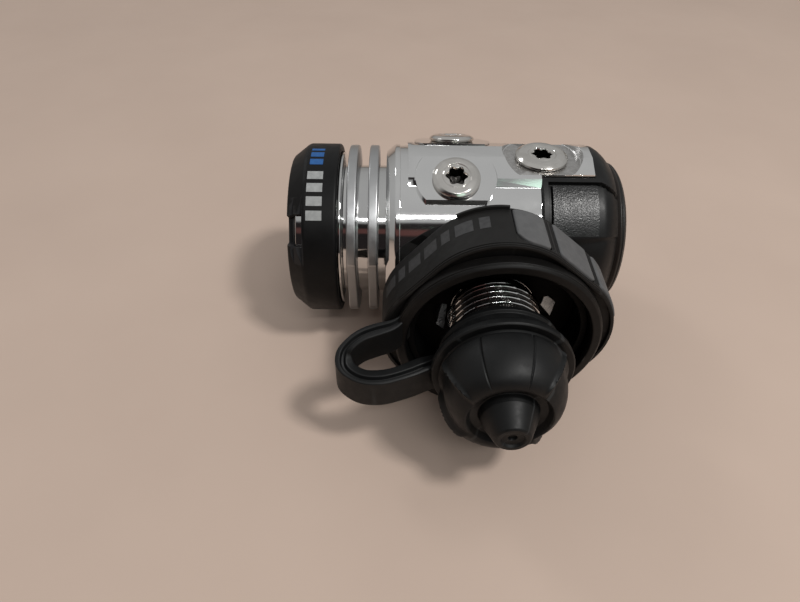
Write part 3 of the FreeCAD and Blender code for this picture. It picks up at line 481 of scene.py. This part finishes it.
def valve_body():
    turned = polar(rounded([
        (25.4, 18.35), (25.4, 21.8, 0.3), (27.8, 23.7, 0.8), (29.0, 23.7, 0.12), (29.0, 23.4, 0.05),
        (64.9, 23.4, 0.2), (64.9, 21.6), (81.2, 21.6, 0.3), (82.4, 20.4, 0.2), (82.4, 9.6), (67.9, 9.6),
        (67.9, 6.5), (49.2, 6.5), (49.2, 4.5), (47.4, 4.5), (47.4, 6.0), (46.4, 6.0), (46.4, 12.0),
        (33.6, 12.0), (33.6, 18.35)], closed=True, steps=3), angles_round(256), closed=True)
    roofs, grooves, added = [], [], []
    for up in (1, -1):
        flip = Matrix.Diagonal((1, 1, up, 1))
        roofs.append(turned_by(prism(gable(ROOF), ROOF_START, SHELL_START), flip))
        roofs.append(turned_by(prism(gable(CROWN), SHELL_START - 0.5, CROWN_END), flip))
        for forward in (1, -1):
            port, side = port_frame(LOW_STATION, LOW_TILT, forward, up), forward * up
            groove = prism(flattened_circle(side, GROOVE_WIDTH), LOW_FACE - GROOVE_DEPTH, CLEAR_OF_BODY)
            grooves.append(turned_by(groove, port))
            added.append(turned_by(prism(flattened_circle(side), 17, LOW_FACE), port))
    out = Matrix.Translation((CONNECTOR_STATION, 0, 0)) @ Matrix.Rotation(radians(90), 4, "Z")
    added.append(turned_by(polar(rounded([(15.0, 0), (15.0, 12.2), (26.4, 12.2, 0.4), (26.4, 0)])), out))
    cuts = []
    for up in (1, -1):
        spot = port_frame(HIGH_STATION, 0, 1, up)
        pocket = rounded([(HIGH_FACE, 0), (HIGH_FACE, SPOT_RADIUS, 0.4), (CLEAR_OF_BODY, SPOT_RADIUS),
                          (CLEAR_OF_BODY, 0)])
        cuts.append(turned_by(polar(pocket), spot))
        cuts.append(turned_by(polar(HIGH_BORE), spot))
        for forward in (1, -1):
            cuts.append(turned_by(polar(LOW_BORE), port_frame(LOW_STATION, LOW_TILT, forward, up)))
    cuts.append(turned_by(polar(STEM_BORE), out))
    shape = boolean(boolean(turned, roofs, "UNION"), grooves, "DIFFERENCE")
    shape = boolean(boolean(shape, added, "UNION"), cuts, "DIFFERENCE")
    piece("valve_casting", shape, BODY, "regulator", "chrome_body", replaces=("regulator_body",),
          bevel=0.16, second=("pocket_chrome", on_pocket))


# ---------------------------------------------------------------- port plugs
def key_socket(angle, across):
    """Radius of a socket with six round lobes."""
    return across * (1 + 0.13 * cos(radians(6 * angle)))


def plug(name, place, face, shank, head, height, socket):
    """A round-headed plug on its port's face, with a lobed socket whose inside is darkened as painted
    shade.
    """
    foot = face + 0.06

    def section(angle):
        return rounded([
            (face - 7.6, 0), (face - 7.6, shank, 0.3), (foot, shank), (foot, head - 0.45, 0.15),
            (foot + 0.35, head - 0.1, 0.12), (foot + 0.42, head, 0.1), (foot + height * 0.55, head, 0.35),
            (foot + height * 0.9, head - 0.95, 0.6), (foot + height, head - 2.0, 0.5),
            (foot + height, socket + 1.35, 0.05), (foot + height - 0.12, socket + 1.2, 0.05),
            (foot + height, socket + 1.0, 0.05), (foot + height, key_socket(angle, socket) + 0.25, 0.1),
            (foot + height - 0.35, key_socket(angle, socket), 0.1),
            (foot + height - 3.6, key_socket(angle, socket)), (foot + height - 4.4, 0)])

    # The socket's inside takes the near-black chrome as painted shade.
    def in_socket(at):
        return foot - 5 < at.x < foot + height - 0.45 and hypot(at.y, at.z) < socket + 0.4
    piece(name + "_head", polar(section, angles_round(144)), place, "regulator", "plug_chrome",
          replaces=(name,), second=("painted_shade_chrome", in_socket))


def plugs():
    for depth, forward in (("front", 1), ("back", -1)):
        for level, up in (("upper", 1), ("lower", -1)):
            place = BODY @ port_frame(LOW_STATION, LOW_TILT, forward, up)
            plug("low_port_plug_%s_%s" % (depth, level), place, LOW_FACE, 4.24, 6.08, 1.62, 2.35)
    for level, up in (("upper", 1), ("lower", -1)):
        place = BODY @ port_frame(HIGH_STATION, 0, 1, up)
        plug("high_port_plug_" + level, place, HIGH_FACE, 4.94, 6.85, 1.75, 2.4)


# ---------------------------------------------------------------- protector shell
SHELL_BORE, SHELL_END, SLOT_HALF, GRAIN_END = 21.85, 85.2, 8.0, 79.2
SHELL_OUTLINE = ((64.95, 23.9), (65.3, 24.1), (80.4, 24.1), (81.4, 23.9), (82.6, 23.2), (83.8, 22.2),
                 (SHELL_END, 20.7))


def shell_outline(station):
    """The shell's plain radius at a station."""
    for (s0, r0), (s1, r1) in zip(SHELL_OUTLINE, SHELL_OUTLINE[1:]):
        if station <= s1:
            return r0 + (r1 - r0) * (station - s0) / (s1 - s0)
    return SHELL_OUTLINE[-1][1]


def shell_relief(angle, station):
    """How deep the shell's face lies under its outline: groove, panel and the lower facet."""
    steep = abs(degrees(asin(sin(radians(angle)))))
    top_groove, panel_edge = 67.6, 65.2
    if station > 79.5:
        top_groove -= (station - 79.5) * 0.75
        panel_edge -= (station - 79.5) * 0.75
    inside_top = smooth_step((top_groove - steep) / 0.5)
    inside_left = smooth_step((station - 66.55) / 0.2)
    inside = inside_top * inside_left
    past_frame = smooth_step((station - 67.35) / 0.35)
    panel = smooth_step((panel_edge + 0.8 - steep) / 0.8) * past_frame
    crease_low = 26.0 + 6.0 * smooth_step((station - 70) / 15)
    lower = smooth_step((33.2 - steep) / max(33.2 - crease_low, 0.6)) * past_frame
    return 1.15 * inside - 0.75 * inside * panel + 0.45 * lower * inside


def protector_shell():
    stations = [64.95, 65.3, 66.5, 66.6, 66.75, 67.3, 67.45, 67.7, 68.5, 70, 72, 74, 76, 78, GRAIN_END,
                79.5, 80.4, 80.9, 81.4, 82.0, 82.6, 83.2, 83.8, 84.5, 85.2]

    def section(angle):
        outer = [(s, shell_outline(s) - shell_relief(angle, s)) for s in stations]
        return outer + [(SHELL_END, 10.0), (82.55, 10.0), (82.55, SHELL_BORE), (64.95, SHELL_BORE)]
    marks = []
    for b in (67.8, 67.6, 67.35, 67.1, 66.6, 66.0, 65.6, 65.2, 64.6, 33.4, 33.2, 33.0, 32, 31, 30, 29, 28,
              27, 26, 25.6):
        marks += [b, -b, 180 - b, 180 + b]
    shape = polar(section, angles_round(180, *marks), closed=True)
    slot = [(-SLOT_HALF, 14), (SLOT_HALF, 14), (SLOT_HALF, CLEAR_OF_BODY), (-SLOT_HALF, CLEAR_OF_BODY)]
    tools = [turned_by(prism(slot, 60, CROWN_END + 0.15), Matrix.Diagonal((1, 1, up, 1))) for up in (1, -1)]
    shape = boolean(shape, tools, "DIFFERENCE")
    piece("shell_moulding", shape, BODY, "regulator", "grained_plastic",
          ("body_protector",), second=("smooth_plastic", off_panel), sharp=28)


def off_panel(at):
    """Whether a point is on the smooth frame round the grained panel."""
    if at.x > GRAIN_END or at.x < 67.4:
        return True
    return abs(at.z) > 21.9 or abs(at.z) < 13.1 or hypot(at.y, at.z) < 23.0


def end_cap():
    # The outer lip between stations 85.2 and 86.6 takes the brown as a painted sheen.
    piece("end_disc", polar(rounded([
        (82.6, 0), (82.6, 9.9), (85.25, 9.9), (85.25, 18.9, 0.1), (85.25, 19.3, 0.2), (86.35, 19.9, 0.4),
        (86.9, 19.35, 0.2), (87.2, 19.5, 0.2), (88.0, 18.6, 0.5), (88.0, 16.6, 0.3), (87.55, 16.0, 0.3),
        (87.55, 5.4, 0.2), (87.8, 5.0, 0.2), (87.8, 0)])), BODY, "regulator", "end_rubber",
        replaces=("protector_end_cap",), second=("painted_brown_sheen", lambda at: 85.2 < at.x < 86.6))


# ---------------------------------------------------------------- threaded connector
THREAD_START, THREAD_END, THREAD_RADIUS, THREAD_PITCH, THREAD_DEPTH = 34.4, 50.4, 11.455, 1.814, 1.16
CREST = 0.13


def thread_radius(reach, angle):
    """Height of the helix at a reach and an angle, with a run-out at each end."""
    phase = ((reach - THREAD_START) / THREAD_PITCH - angle / 360) % 1.0
    depth = max(0.0, 1 - abs(phase - 0.5) * 2 / (1 - CREST))
    fade = min(smooth_step((reach - THREAD_START - 1.0) / 1.2), smooth_step(THREAD_END - 0.6 - reach))
    return THREAD_RADIUS - THREAD_DEPTH * depth * fade


def retainer():
    step = 0.09
    count = int((THREAD_END - THREAD_START - 1.8) / step)
    reaches = [THREAD_START + 1.2 + i * (THREAD_END - THREAD_START - 1.8) / count for i in range(count + 1)]

    def section(angle):
        base = rounded([(29.3, 6.56), (29.3, 14.6, 0.5), (32.4, 14.6, 0.5), (32.4, 10.2, 0.3),
                        (THREAD_START, 10.2, 0.2), (THREAD_START + 0.8, THREAD_RADIUS - 0.4, 0.1)])
        thread = [(d, thread_radius(d, angle)) for d in reaches]
        return base + thread + [(THREAD_END, 10.4), (THREAD_END, 9.3), (43.6, 9.3), (43.6, 6.56)]

    # The thread's lower flanks and roots take the near-black chrome as painted shade between the crests.
    def in_thread(at):
        return THREAD_START + 0.8 < at.x < THREAD_END - 0.9 and hypot(at.y, at.z) < THREAD_RADIUS - 0.2
    piece("threaded_sleeve", polar(section, angles_round(160), closed=True), CONNECTOR, "wheel",
          "chrome_body", replaces=("din_retainer",), sharp=50, second=("painted_shade_chrome", in_thread))


# ---------------------------------------------------------------- handwheel and grips
WHEEL_BACK, WHEEL_FRONT, WHEEL_HALF, WHEEL_CORNER, WHEEL_ROLL = 28.4, 42.1, 25.2, 19.4, 49.8
GRIP_BACK, GRIP_FRONT, GRIP_DEPTH, GRIP_RAISE = 29.3, 40.6, 0.9, 0.5
GRIPS = ((9.5, 33.5, 1.2, 1.2), (38.5, 65.0, 1.2, 1.2), (70.5, 87.0, 1.2, 3.5))
RIBS, REAR_RIM, OPENING = (35.2, 37.0, 66.7, 69.0), (88.0, 113.0), (172.0, 200.0)
WHEEL_STEP, WHEEL_INSIDE = 25.9, 23.4
WHEEL_BARS = ((98, 103), (106, 115), (118, 123), (126, 135), (138, 147), (150, 155), (158, 168))
HUB_BACK = 32.45
HUB_FACETS = (((32.6, 12.5, 5.0), (33.2, 15.2, 2.9), (34.6, 14.2, -0.3), (34.0, 11.5, 2.7)),
              ((32.6, -12.6, 2.0), (32.6, -11.4, 2.0), (36.8, -12.2, -3.2), (36.8, -14.2, -1.6)))


def wheel_radius(angle, offset=0.0):
    """Reach of the wheel's outline, a square with round corners, at an angle."""
    half, corner = WHEEL_HALF + offset, WHEEL_CORNER + offset
    inset = half - corner
    turn = radians((angle - WHEEL_ROLL) % 90)
    turn = min(turn, pi / 2 - turn)
    if tan(turn) <= inset / half:
        return half / cos(turn)
    reach = inset * (cos(turn) + sin(turn))
    return reach + sqrt(reach ** 2 - 2 * inset ** 2 + corner ** 2)


def corner_cut(distance, radius):
    """How far a rounded corner's edge is drawn in at a distance (mm) from the side."""
    if distance >= radius:
        return 0.0
    return radius - sqrt(max(0.0, radius ** 2 - (radius - max(distance, 0.0)) ** 2))


def grip_edges(angle, margin):
    """Front and back edge of the grip at an angle, or None between grips."""
    angle %= 180
    for low, high, low_corner, high_corner in GRIPS:
        to_low = radians(angle - low) * WHEEL_STEP + margin
        to_high = radians(high - angle) * WHEEL_STEP + margin
        if to_low >= 0 and to_high >= 0:
            cut = max(corner_cut(to_low, low_corner), corner_cut(to_high, high_corner))
            return GRIP_BACK - margin, GRIP_FRONT + margin - cut
    return None


def between(angle, span):
    """Whether an angle lies in a span, or in the same span half a turn on."""
    return any(0 <= (angle - span[0] - turn) % 360 <= span[1] - span[0] for turn in (0, 180))


def wheel_section(angle):
    """The wheel's section: web, rim, the grips' beds, ribs between them and the grooved front lip."""
    edges = grip_edges(angle, 0.22)
    depth = GRIP_DEPTH if edges else 0.0
    back, front = edges or (GRIP_BACK, GRIP_FRONT)
    out = wheel_radius(angle)
    rim = 0.9 if REAR_RIM[0] <= angle <= REAR_RIM[1] else 0.0
    rib = 0.35 * max(exp(-(((angle - middle + 90) % 180 - 90) / 0.45) ** 2) for middle in RIBS) - depth
    web = 32.2 if between(angle, OPENING) else 33.0
    ridge, lip, tip = 0.3, max(wheel_radius(angle, -0.9), 24.55), WHEEL_FRONT
    corners = [
        (33.0, 10.7), (32.5, 10.7), (32.5, 14.7), (28.9, 14.7), (28.9, 19.8), (WHEEL_BACK, 21.8, 0.4),
        (WHEEL_BACK, out + rim, 1.0), (back - 0.04, out + rim, 0.1), (back, out - depth, 0.02),
        (back + 0.7, out + rib, 0.1), (front - 0.4, out + rib, 0.1), (front, out - depth, 0.02),
        (front + 0.06, out, 0.02), (tip - 1.15, out, 0.06), (tip - 1.05, out - ridge, 0.06),
        (tip - 0.85, out - ridge, 0.06), (tip - 0.75, out, 0.06), (tip - 0.45, out, 0.06),
        (tip - 0.35, out - ridge, 0.06), (tip - 0.2, out - ridge, 0.06), (tip - 0.1, out - 0.1, 0.1),
        (tip, out - 0.35, 0.1), (tip, lip, 0.15), (41.0, lip, 0.1), (40.9, 22.95), (39.0, 22.95),
        (39.0, 21.4), (41.6, 21.4, 0.2), (41.6, 19.8, 0.2), (33.0, 19.8), (33.0, 14.8), (web, 14.7),
        (web, 12.0), (33.0, 11.9)]
    return rounded(corners, closed=True, steps=3)


def handwheel():
    marks = [edge + turn + o for edge in (*REAR_RIM, *OPENING) for turn in (0, 180) for o in (-0.05, 0.05)]
    marks += [middle + turn + o for middle in RIBS for turn in (0, 180)
              for o in (-0.9, -0.6, -0.3, 0, 0.3, 0.6, 0.9)]
    for half_turn in (0, 180):
        for low, high, low_corner, high_corner in GRIPS:
            for edge, side, corner in ((low, 1, low_corner), (high, -1, high_corner)):
                for distance in (-0.24, -0.2, 0, 0.2, 0.5, 0.9, 1.3, 1.8, 2.4, 3.0, 3.6, 4.2):
                    if distance <= corner + 0.1:
                        marks.append(edge + half_turn + side * degrees(distance / WHEEL_STEP))
    # The wheel's inner faces, nearer the axis than WHEEL_INSIDE, take the darker black as painted shade.
    piece("wheel_moulding", polar(wheel_section, angles_round(180, *marks), closed=True), CONNECTOR,
          "wheel", "wheel_plastic", ("handwheel",), sharp=40,
          second=("painted_shade_black", lambda at: hypot(at.y, at.z) < WHEEL_INSIDE))
    bars = [patch(wheel_radius, (low + turn, high + turn), (31.6, 35.6)) for turn in (0, 180)
            for low, high in WHEEL_BARS]
    piece("wheel_marks", joined(bars), CONNECTOR, "wheel", "printed_grey")


def hub_facets():
    """Two small bright facets on the connector's root, seen past the thread."""
    shapes = []
    for corners in HUB_FACETS:
        shape = bmesh.new()
        front = [shape.verts.new(c) for c in corners]
        back = [shape.verts.new((HUB_BACK, y, z)) for _, y, z in corners]
        shape.faces.new(front)
        shape.faces.new(back[::-1])
        for i in range(4):
            shape.faces.new((front[i], back[i], back[(i + 1) % 4], front[(i + 1) % 4]))
        bmesh.ops.recalc_face_normals(shape, faces=shape.faces)
        shapes.append(shape)
    piece("hub_facets", joined(shapes), CONNECTOR, "wheel", "pocket_chrome")


def grip_pads():
    """Soft pads let into the wheel, with round edges."""
    pads = []
    unit = degrees(1 / WHEEL_STEP)
    for half_turn in (0, 180):
        for low, high, *_ in GRIPS:
            steps = [e * unit for e in (0, 0.12, 0.35, 0.7, 1.2, 1.9, 2.8, 3.6, 4.4)]
            inner = [low + (high - low) * i / 12 for i in range(13)]
            stops = sorted({round(low + e, 4) for e in steps} | {round(high - e, 4) for e in steps}
                           | {round(a, 4) for a in inner if low + steps[-1] < a < high - steps[-1]})
            rows = []
            for angle in stops:
                to_side = min(angle - low, high - angle) / unit
                top = wheel_radius(angle) + GRIP_RAISE - 0.45 * max(0.0, 1 - to_side / 0.6) ** 2
                foot = wheel_radius(angle) - GRIP_DEPTH + 0.05
                back, front = grip_edges(angle, 0.0)
                row = rounded([(back, foot), (back, top, 0.4), (front, top, 0.4), (front, foot)],
                              closed=True, steps=3)
                t = radians(angle + half_turn)
                rows.append([(x, r * cos(t), r * sin(t)) for x, r in row])
            pads.append(skin(rows, around=False, closed=True))
    piece("grip_pads", joined(pads), CONNECTOR, "wheel", "grey_grip", replaces=("handwheel_grips",),
          sharp=45)


# ---------------------------------------------------------------- rubber ring, cover and strap
RING_RADIUS, RING_BORE, RING_FRONT = 24.4, 21.55, 44.9


def rubber_ring():
    # The ring's bore takes the darker black as painted shade.
    piece("ring_moulding", polar(rounded([
        (39.25, RING_BORE), (39.25, 22.5, 0.2), (41.2, 22.5, 0.3), (41.35, RING_RADIUS - 0.1, 0.3),
        (43.9, RING_RADIUS, 0.25), (44.1, RING_RADIUS - 0.35, 0.15), (44.35, RING_RADIUS - 0.1, 0.15),
        (RING_FRONT, RING_RADIUS - 0.7, 0.4), (RING_FRONT, RING_BORE + 0.5, 0.4),
        (RING_FRONT - 0.8, RING_BORE, 0.3)],
        closed=True), closed=True), CONNECTOR, "wheel", "ring_rubber", ("protector_ring",),
        second=("painted_shade_black", lambda at: hypot(at.y, at.z) < RING_BORE + 0.3))


CREASE_STEPS = (-1.6, -0.9, -0.5, 0, 0.5, 0.9, 1.6)


def bump(gap, width):
    return exp(-(gap / width) ** 2)


def cover_relief(angle, reach):
    """The cover's raised dome between two slanting ribs, with a fine crease towards each side."""
    fold = angle if angle <= 180 else 360 - angle
    left_rib, right_rib = 158 - 1.44 * (reach - 56.5), 43 + 1.545 * (reach - 59)
    beyond = max(smooth_step((fold - left_rib) / 6), smooth_step((right_rib - fold) / 6))
    rib = max(bump(fold - left_rib, 1.8), bump(fold - right_rib, 1.8))
    crease = max(bump(fold - 117, 0.7), bump(fold - 72 - 0.45 * (reach - 54.6), 0.7))
    fade = smooth_step((reach - 54.6) / 1.4)
    return fade * (0.7 * rib - 1.3 * beyond) - 0.3 * crease


def cover_section(angle):
    profile = [
        (46.2, 11.75), (46.2, 14.0, 0.4), (47.6, 14.3, 0.2), (48.0, 13.7, 0.2), (48.6, 13.7, 0.2),
        (49.0, 14.4, 0.2),
        (51.2, 14.5, 0.3), (51.6, 15.9, 0.3), (52.0, 16.1, 0.2), (53.4, 16.25, 0.25), (53.8, 15.9, 0.2),
        (53.6, 14.3, 0.3), (54.2, 13.6, 0.2), (54.5, 14.5, 0.3), (55.5, 14.7), (56.5, 14.85), (57.5, 14.9),
        (58.5, 14.87), (59.5, 14.75), (60.5, 14.55), (61.5, 14.3), (62.5, 13.95), (63.5, 13.5),
        (64.5, 12.9),
        (65.3, 12.25), (65.9, 11.5), (66.3, 10.6), (66.35, 9.8), (66.1, 9.2, 0.3), (64.6, 8.4, 0.4),
        (64.3, 6.6, 0.3), (66.2, 6.25, 0.4), (71.2, 3.9, 0.5), (71.5, 3.5, 0.2), (71.5, 2.7, 0.15),
        (70.9, 2.3, 0.15), (70.8, 1.0), (70.2, 0.8), (70.2, 0)]
    points = []
    for x, r in rounded(profile):
        carved = x > 54.4 and r > 9.0
        points.append((x, r + cover_relief(angle, x) * smooth_step((r - 9.0) / 2.5) if carved else r))
    return points


def cover():
    lines = [turn * middle + o for turn in (1, -1) for middle in (117, 72, 73, 74, 75, 76, 77, 78)
             for o in CREASE_STEPS]
    inside = [(52.5, 0), (52.5, 11.75)]

    def section(angle):
        return inside + cover_section(angle)
    piece("cover_moulding", polar(section, angles_round(300, *lines)), CONNECTOR, "cover", "black_rubber",
          replaces=("protector_cover",), sharp=50)


STRAP_PATH = (
    (-21.6, 42.4, 8.2, 2.0), (-23.0, 43.7, 7.2, 2.3), (-25.2, 44.7, 6.3, 3.2), (-28.7, 45.5, 5.7, 3.8),
    (-32.0, 46.7, 5.1, 3.6), (-34.5, 48.2, 4.0, 3.4), (-36.0, 49.8, 2.6, 3.5), (-35.7, 52.0, 1.2, 4.3),
    (-33.8, 53.6, 0.2, 4.3), (-31.0, 54.7, -0.1, 4.4), (-27.4, 54.8, 0.0, 4.5), (-24.0, 54.0, 0.2, 4.3),
    (-20.7, 52.7, 0.4, 4.5), (-17.8, 51.3, 0.5, 4.5), (-13.2, 49.6, 0.5, 3.6))
STRAP_WALL = 8.0


def smooth_line(points, steps=5):
    """Points of any size joined by a smooth line through all of them."""
    rows = [Vector(points[0])] + [Vector(p) for p in points] + [Vector(points[-1])]
    line = []
    for a, b, c, d in zip(rows, rows[1:], rows[2:], rows[3:]):
        for i in range(steps):
            t = i / steps
            line.append(0.5 * (2 * b + (c - a) * t + (2 * a - 5 * b + 4 * c - d) * t ** 2
                               + (3 * b - a - 3 * c + d) * t ** 3))
    return line + [rows[-1]]


def strap():
    """A band on edge with two ridges along its top, swept along the loop."""
    line = smooth_line(STRAP_PATH)
    rows = []
    for i, point in enumerate(line):
        along = line[min(i + 1, len(line) - 1)] - line[max(i - 1, 0)]
        across = Vector((-along[1], -along[0], 0)).normalized()
        half = point[3] / 2
        groove = half * 0.36 * smooth_step((i / len(line) - 0.4) / 0.15)
        outline = rounded([
            (-half, -STRAP_WALL, 0.5), (-half, -0.35, 0.45), (groove - 0.75, 0.05, 0.35),
            (groove - 0.35, -0.95, 0.2), (groove + 0.25, -0.95, 0.2), (groove + 0.6, 0.12, 0.3),
            (half, -0.2, 0.4), (half, -STRAP_WALL, 0.5)], closed=True, steps=3)
        middle = Vector((point[0], -point[1], point[2]))
        rows.append([middle + across * a + UP * b for a, b in outline])
    place = placed(CROSSING, RIGHT, -FORWARD, UP)
    made = piece("strap_band", skin(rows, around=False, closed=True), place, None, "black_rubber", sharp=50)
    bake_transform(made)
    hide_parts("cap_strap")


# ---------------------------------------------------------------- inner pieces keep their CAD shapes
def finish_cad_nodes():
    slots = {part["node"]: part["material_slot"] for part in frame["record"]["subparts"]}
    for name, shown in frame["nodes"].items():
        shown.data.materials.clear()
        shown.data.materials.append(LOOKS[slots[name]])


# ---------------------------------------------------------------- stage, light and camera
def stage():
    mesh = bpy.data.meshes.new("floor")
    shape = bmesh.new()
    corners = [shape.verts.new((x, y, 0)) for x, y in ((-2.5, -2.5), (2.5, -2.5), (2.5, 2.5), (-2.5, 2.5))]
    shape.faces.new(corners)
    shape.to_mesh(mesh)
    shape.free()
    made = bpy.data.objects.new("floor", mesh)
    bpy.context.scene.collection.objects.link(made)
    mesh.materials.append(material("pale_floor", (0.525, 0.408, 0.340), (0.555, 0.433, 0.361), (0.6, 0.75),
                                   blotch=60, grain=(0.8, 0.01), specular=0.2))


def area_light(name, place, aim, size, power, colour=(1, 1, 1)):
    light = bpy.data.lights.new(name, "AREA")
    light.shape = "RECTANGLE"
    light.size, light.size_y = size
    light.energy = power
    light.color = colour
    made = bpy.data.objects.new(name, light)
    bpy.context.scene.collection.objects.link(made)
    made.location = place
    made.rotation_euler = (Vector(aim) - Vector(place)).to_track_quat("-Z", "Y").to_euler()


def ramp_of(tree, value, stops):
    made = node(tree, "ShaderNodeValToRGB")
    elements = made.color_ramp.elements
    while len(elements) < len(stops):
        elements.new(0.5)
    for element, (position, colour) in zip(elements, stops):
        element.position = position
        element.color = (*colour, 1)
    tree.links.new(value, made.inputs["Fac"])
    return made.outputs["Color"]


def world():
    """A grey room, with a dark band low at the front, and a pale wall behind everything."""
    made = bpy.data.worlds.new("studio")
    bpy.context.scene.world = made
    made.use_nodes = True
    tree = made.node_tree
    tree.nodes.clear()
    way = node(tree, "ShaderNodeSeparateXYZ")
    tree.links.new(node(tree, "ShaderNodeTexCoord").outputs["Generated"], way.inputs[0])
    height = mapped(tree, way.outputs["Z"], 0.0, 1.0, -1.0, 1.0)
    front = ramp_of(tree, height, (
        (0.0, (0.10, 0.085, 0.07)), (0.43, (0.10, 0.08, 0.07)), (0.45, (0.02, 0.016, 0.016)),
        (0.72, (0.02, 0.017, 0.017)), (0.74, (0.11, 0.05, 0.045)), (0.78, (0.11, 0.05, 0.045)),
        (0.80, (0.02, 0.017, 0.017)), (0.842, (0.02, 0.017, 0.017)), (0.862, (0.43, 0.43, 0.425)),
        (1.0, (0.50, 0.50, 0.495))))
    around = ramp_of(tree, height, (
        (0.0, (0.12, 0.10, 0.085)), (0.49, (0.14, 0.12, 0.10)), (0.53, (0.30, 0.295, 0.285)),
        (0.70, (0.42, 0.42, 0.415)), (1.0, (0.50, 0.50, 0.495))))
    room_colour = node(tree, "ShaderNodeMix", data_type="RGBA")
    ahead = node(tree, "ShaderNodeMath", operation="MULTIPLY")
    tree.links.new(mapped(tree, way.outputs["Y"], 1.0, 0.0, -0.6, -0.3), ahead.inputs[0])
    tree.links.new(mapped(tree, way.outputs["X"], 1.0, 0.0, 0.10, 0.22), ahead.inputs[1])
    tree.links.new(ahead.outputs[0], room_colour.inputs[0])
    tree.links.new(around, room_colour.inputs[6])
    tree.links.new(front, room_colour.inputs[7])
    room = node(tree, "ShaderNodeBackground", Strength=1.0)
    tree.links.new(room_colour.outputs[2], room.inputs["Color"])
    plain = node(tree, "ShaderNodeBackground", Strength=1.0)
    plain.inputs["Color"].default_value = (0.52, 0.46, 0.41, 1)
    mix = node(tree, "ShaderNodeMixShader")
    tree.links.new(node(tree, "ShaderNodeLightPath").outputs["Is Camera Ray"], mix.inputs[0])
    tree.links.new(room.outputs[0], mix.inputs[1])
    tree.links.new(plain.outputs[0], mix.inputs[2])
    out = node(tree, "ShaderNodeOutputWorld")
    tree.links.new(mix.outputs[0], out.inputs["Surface"])
    bpy.context.scene.view_settings.view_transform = "Standard"


def lights():
    area_light("key", (0.37, -0.26, 0.82), (0, 0, 0.02), (0.13, 0.12), 4.0, (1.0, 0.985, 0.96))
    area_light("front", (0.10, -0.513, 0.733), (0, 0, 0.02), (0.34, 0.05), 0.95)
    area_light("back", (-0.45, 0.45, 0.6), (0, 0, 0.02), (0.14, 0.14), 0.5)
    area_light("card", (0.164, -0.45, 0.41), (0, 0, 0.03), (0.25, 0.05), 0.035, (0.62, 1.0, 0.78))


CAMERA_OFFSET = Vector((-25.117, -141.933, 106.210))
CAMERA_ELEVATION, CAMERA_AZIMUTH, CAMERA_ROLL, LENS = radians(43.59), radians(-1.01), radians(1.34), 27.365


def camera():
    flat = cos(CAMERA_ELEVATION)
    back = Vector((sin(CAMERA_AZIMUTH) * flat, -cos(CAMERA_AZIMUTH) * flat, sin(CAMERA_ELEVATION)))
    right = (-back).cross(UP).normalized()
    top = right.cross(-back)
    x = right * cos(CAMERA_ROLL) + top * sin(CAMERA_ROLL)
    y = -right * sin(CAMERA_ROLL) + top * cos(CAMERA_ROLL)
    data = bpy.data.cameras.new("camera")
    data.sensor_width, data.lens, data.clip_start = 36, LENS, 0.01
    made = bpy.data.objects.new("camera", data)
    bpy.context.scene.collection.objects.link(made)
    turn = Matrix((x, y, back)).transposed().to_4x4()
    made.matrix_world = Matrix.Translation(CROSSING + CAMERA_OFFSET * MM) @ turn
    bpy.context.scene.camera = made


cap()
neck()
valve_body()
plugs()
protector_shell()
end_cap()
retainer()
handwheel()
hub_facets()
grip_pads()
rubber_ring()
cover()
strap()
finish_cad_nodes()
stage()
world()
lights()
camera()
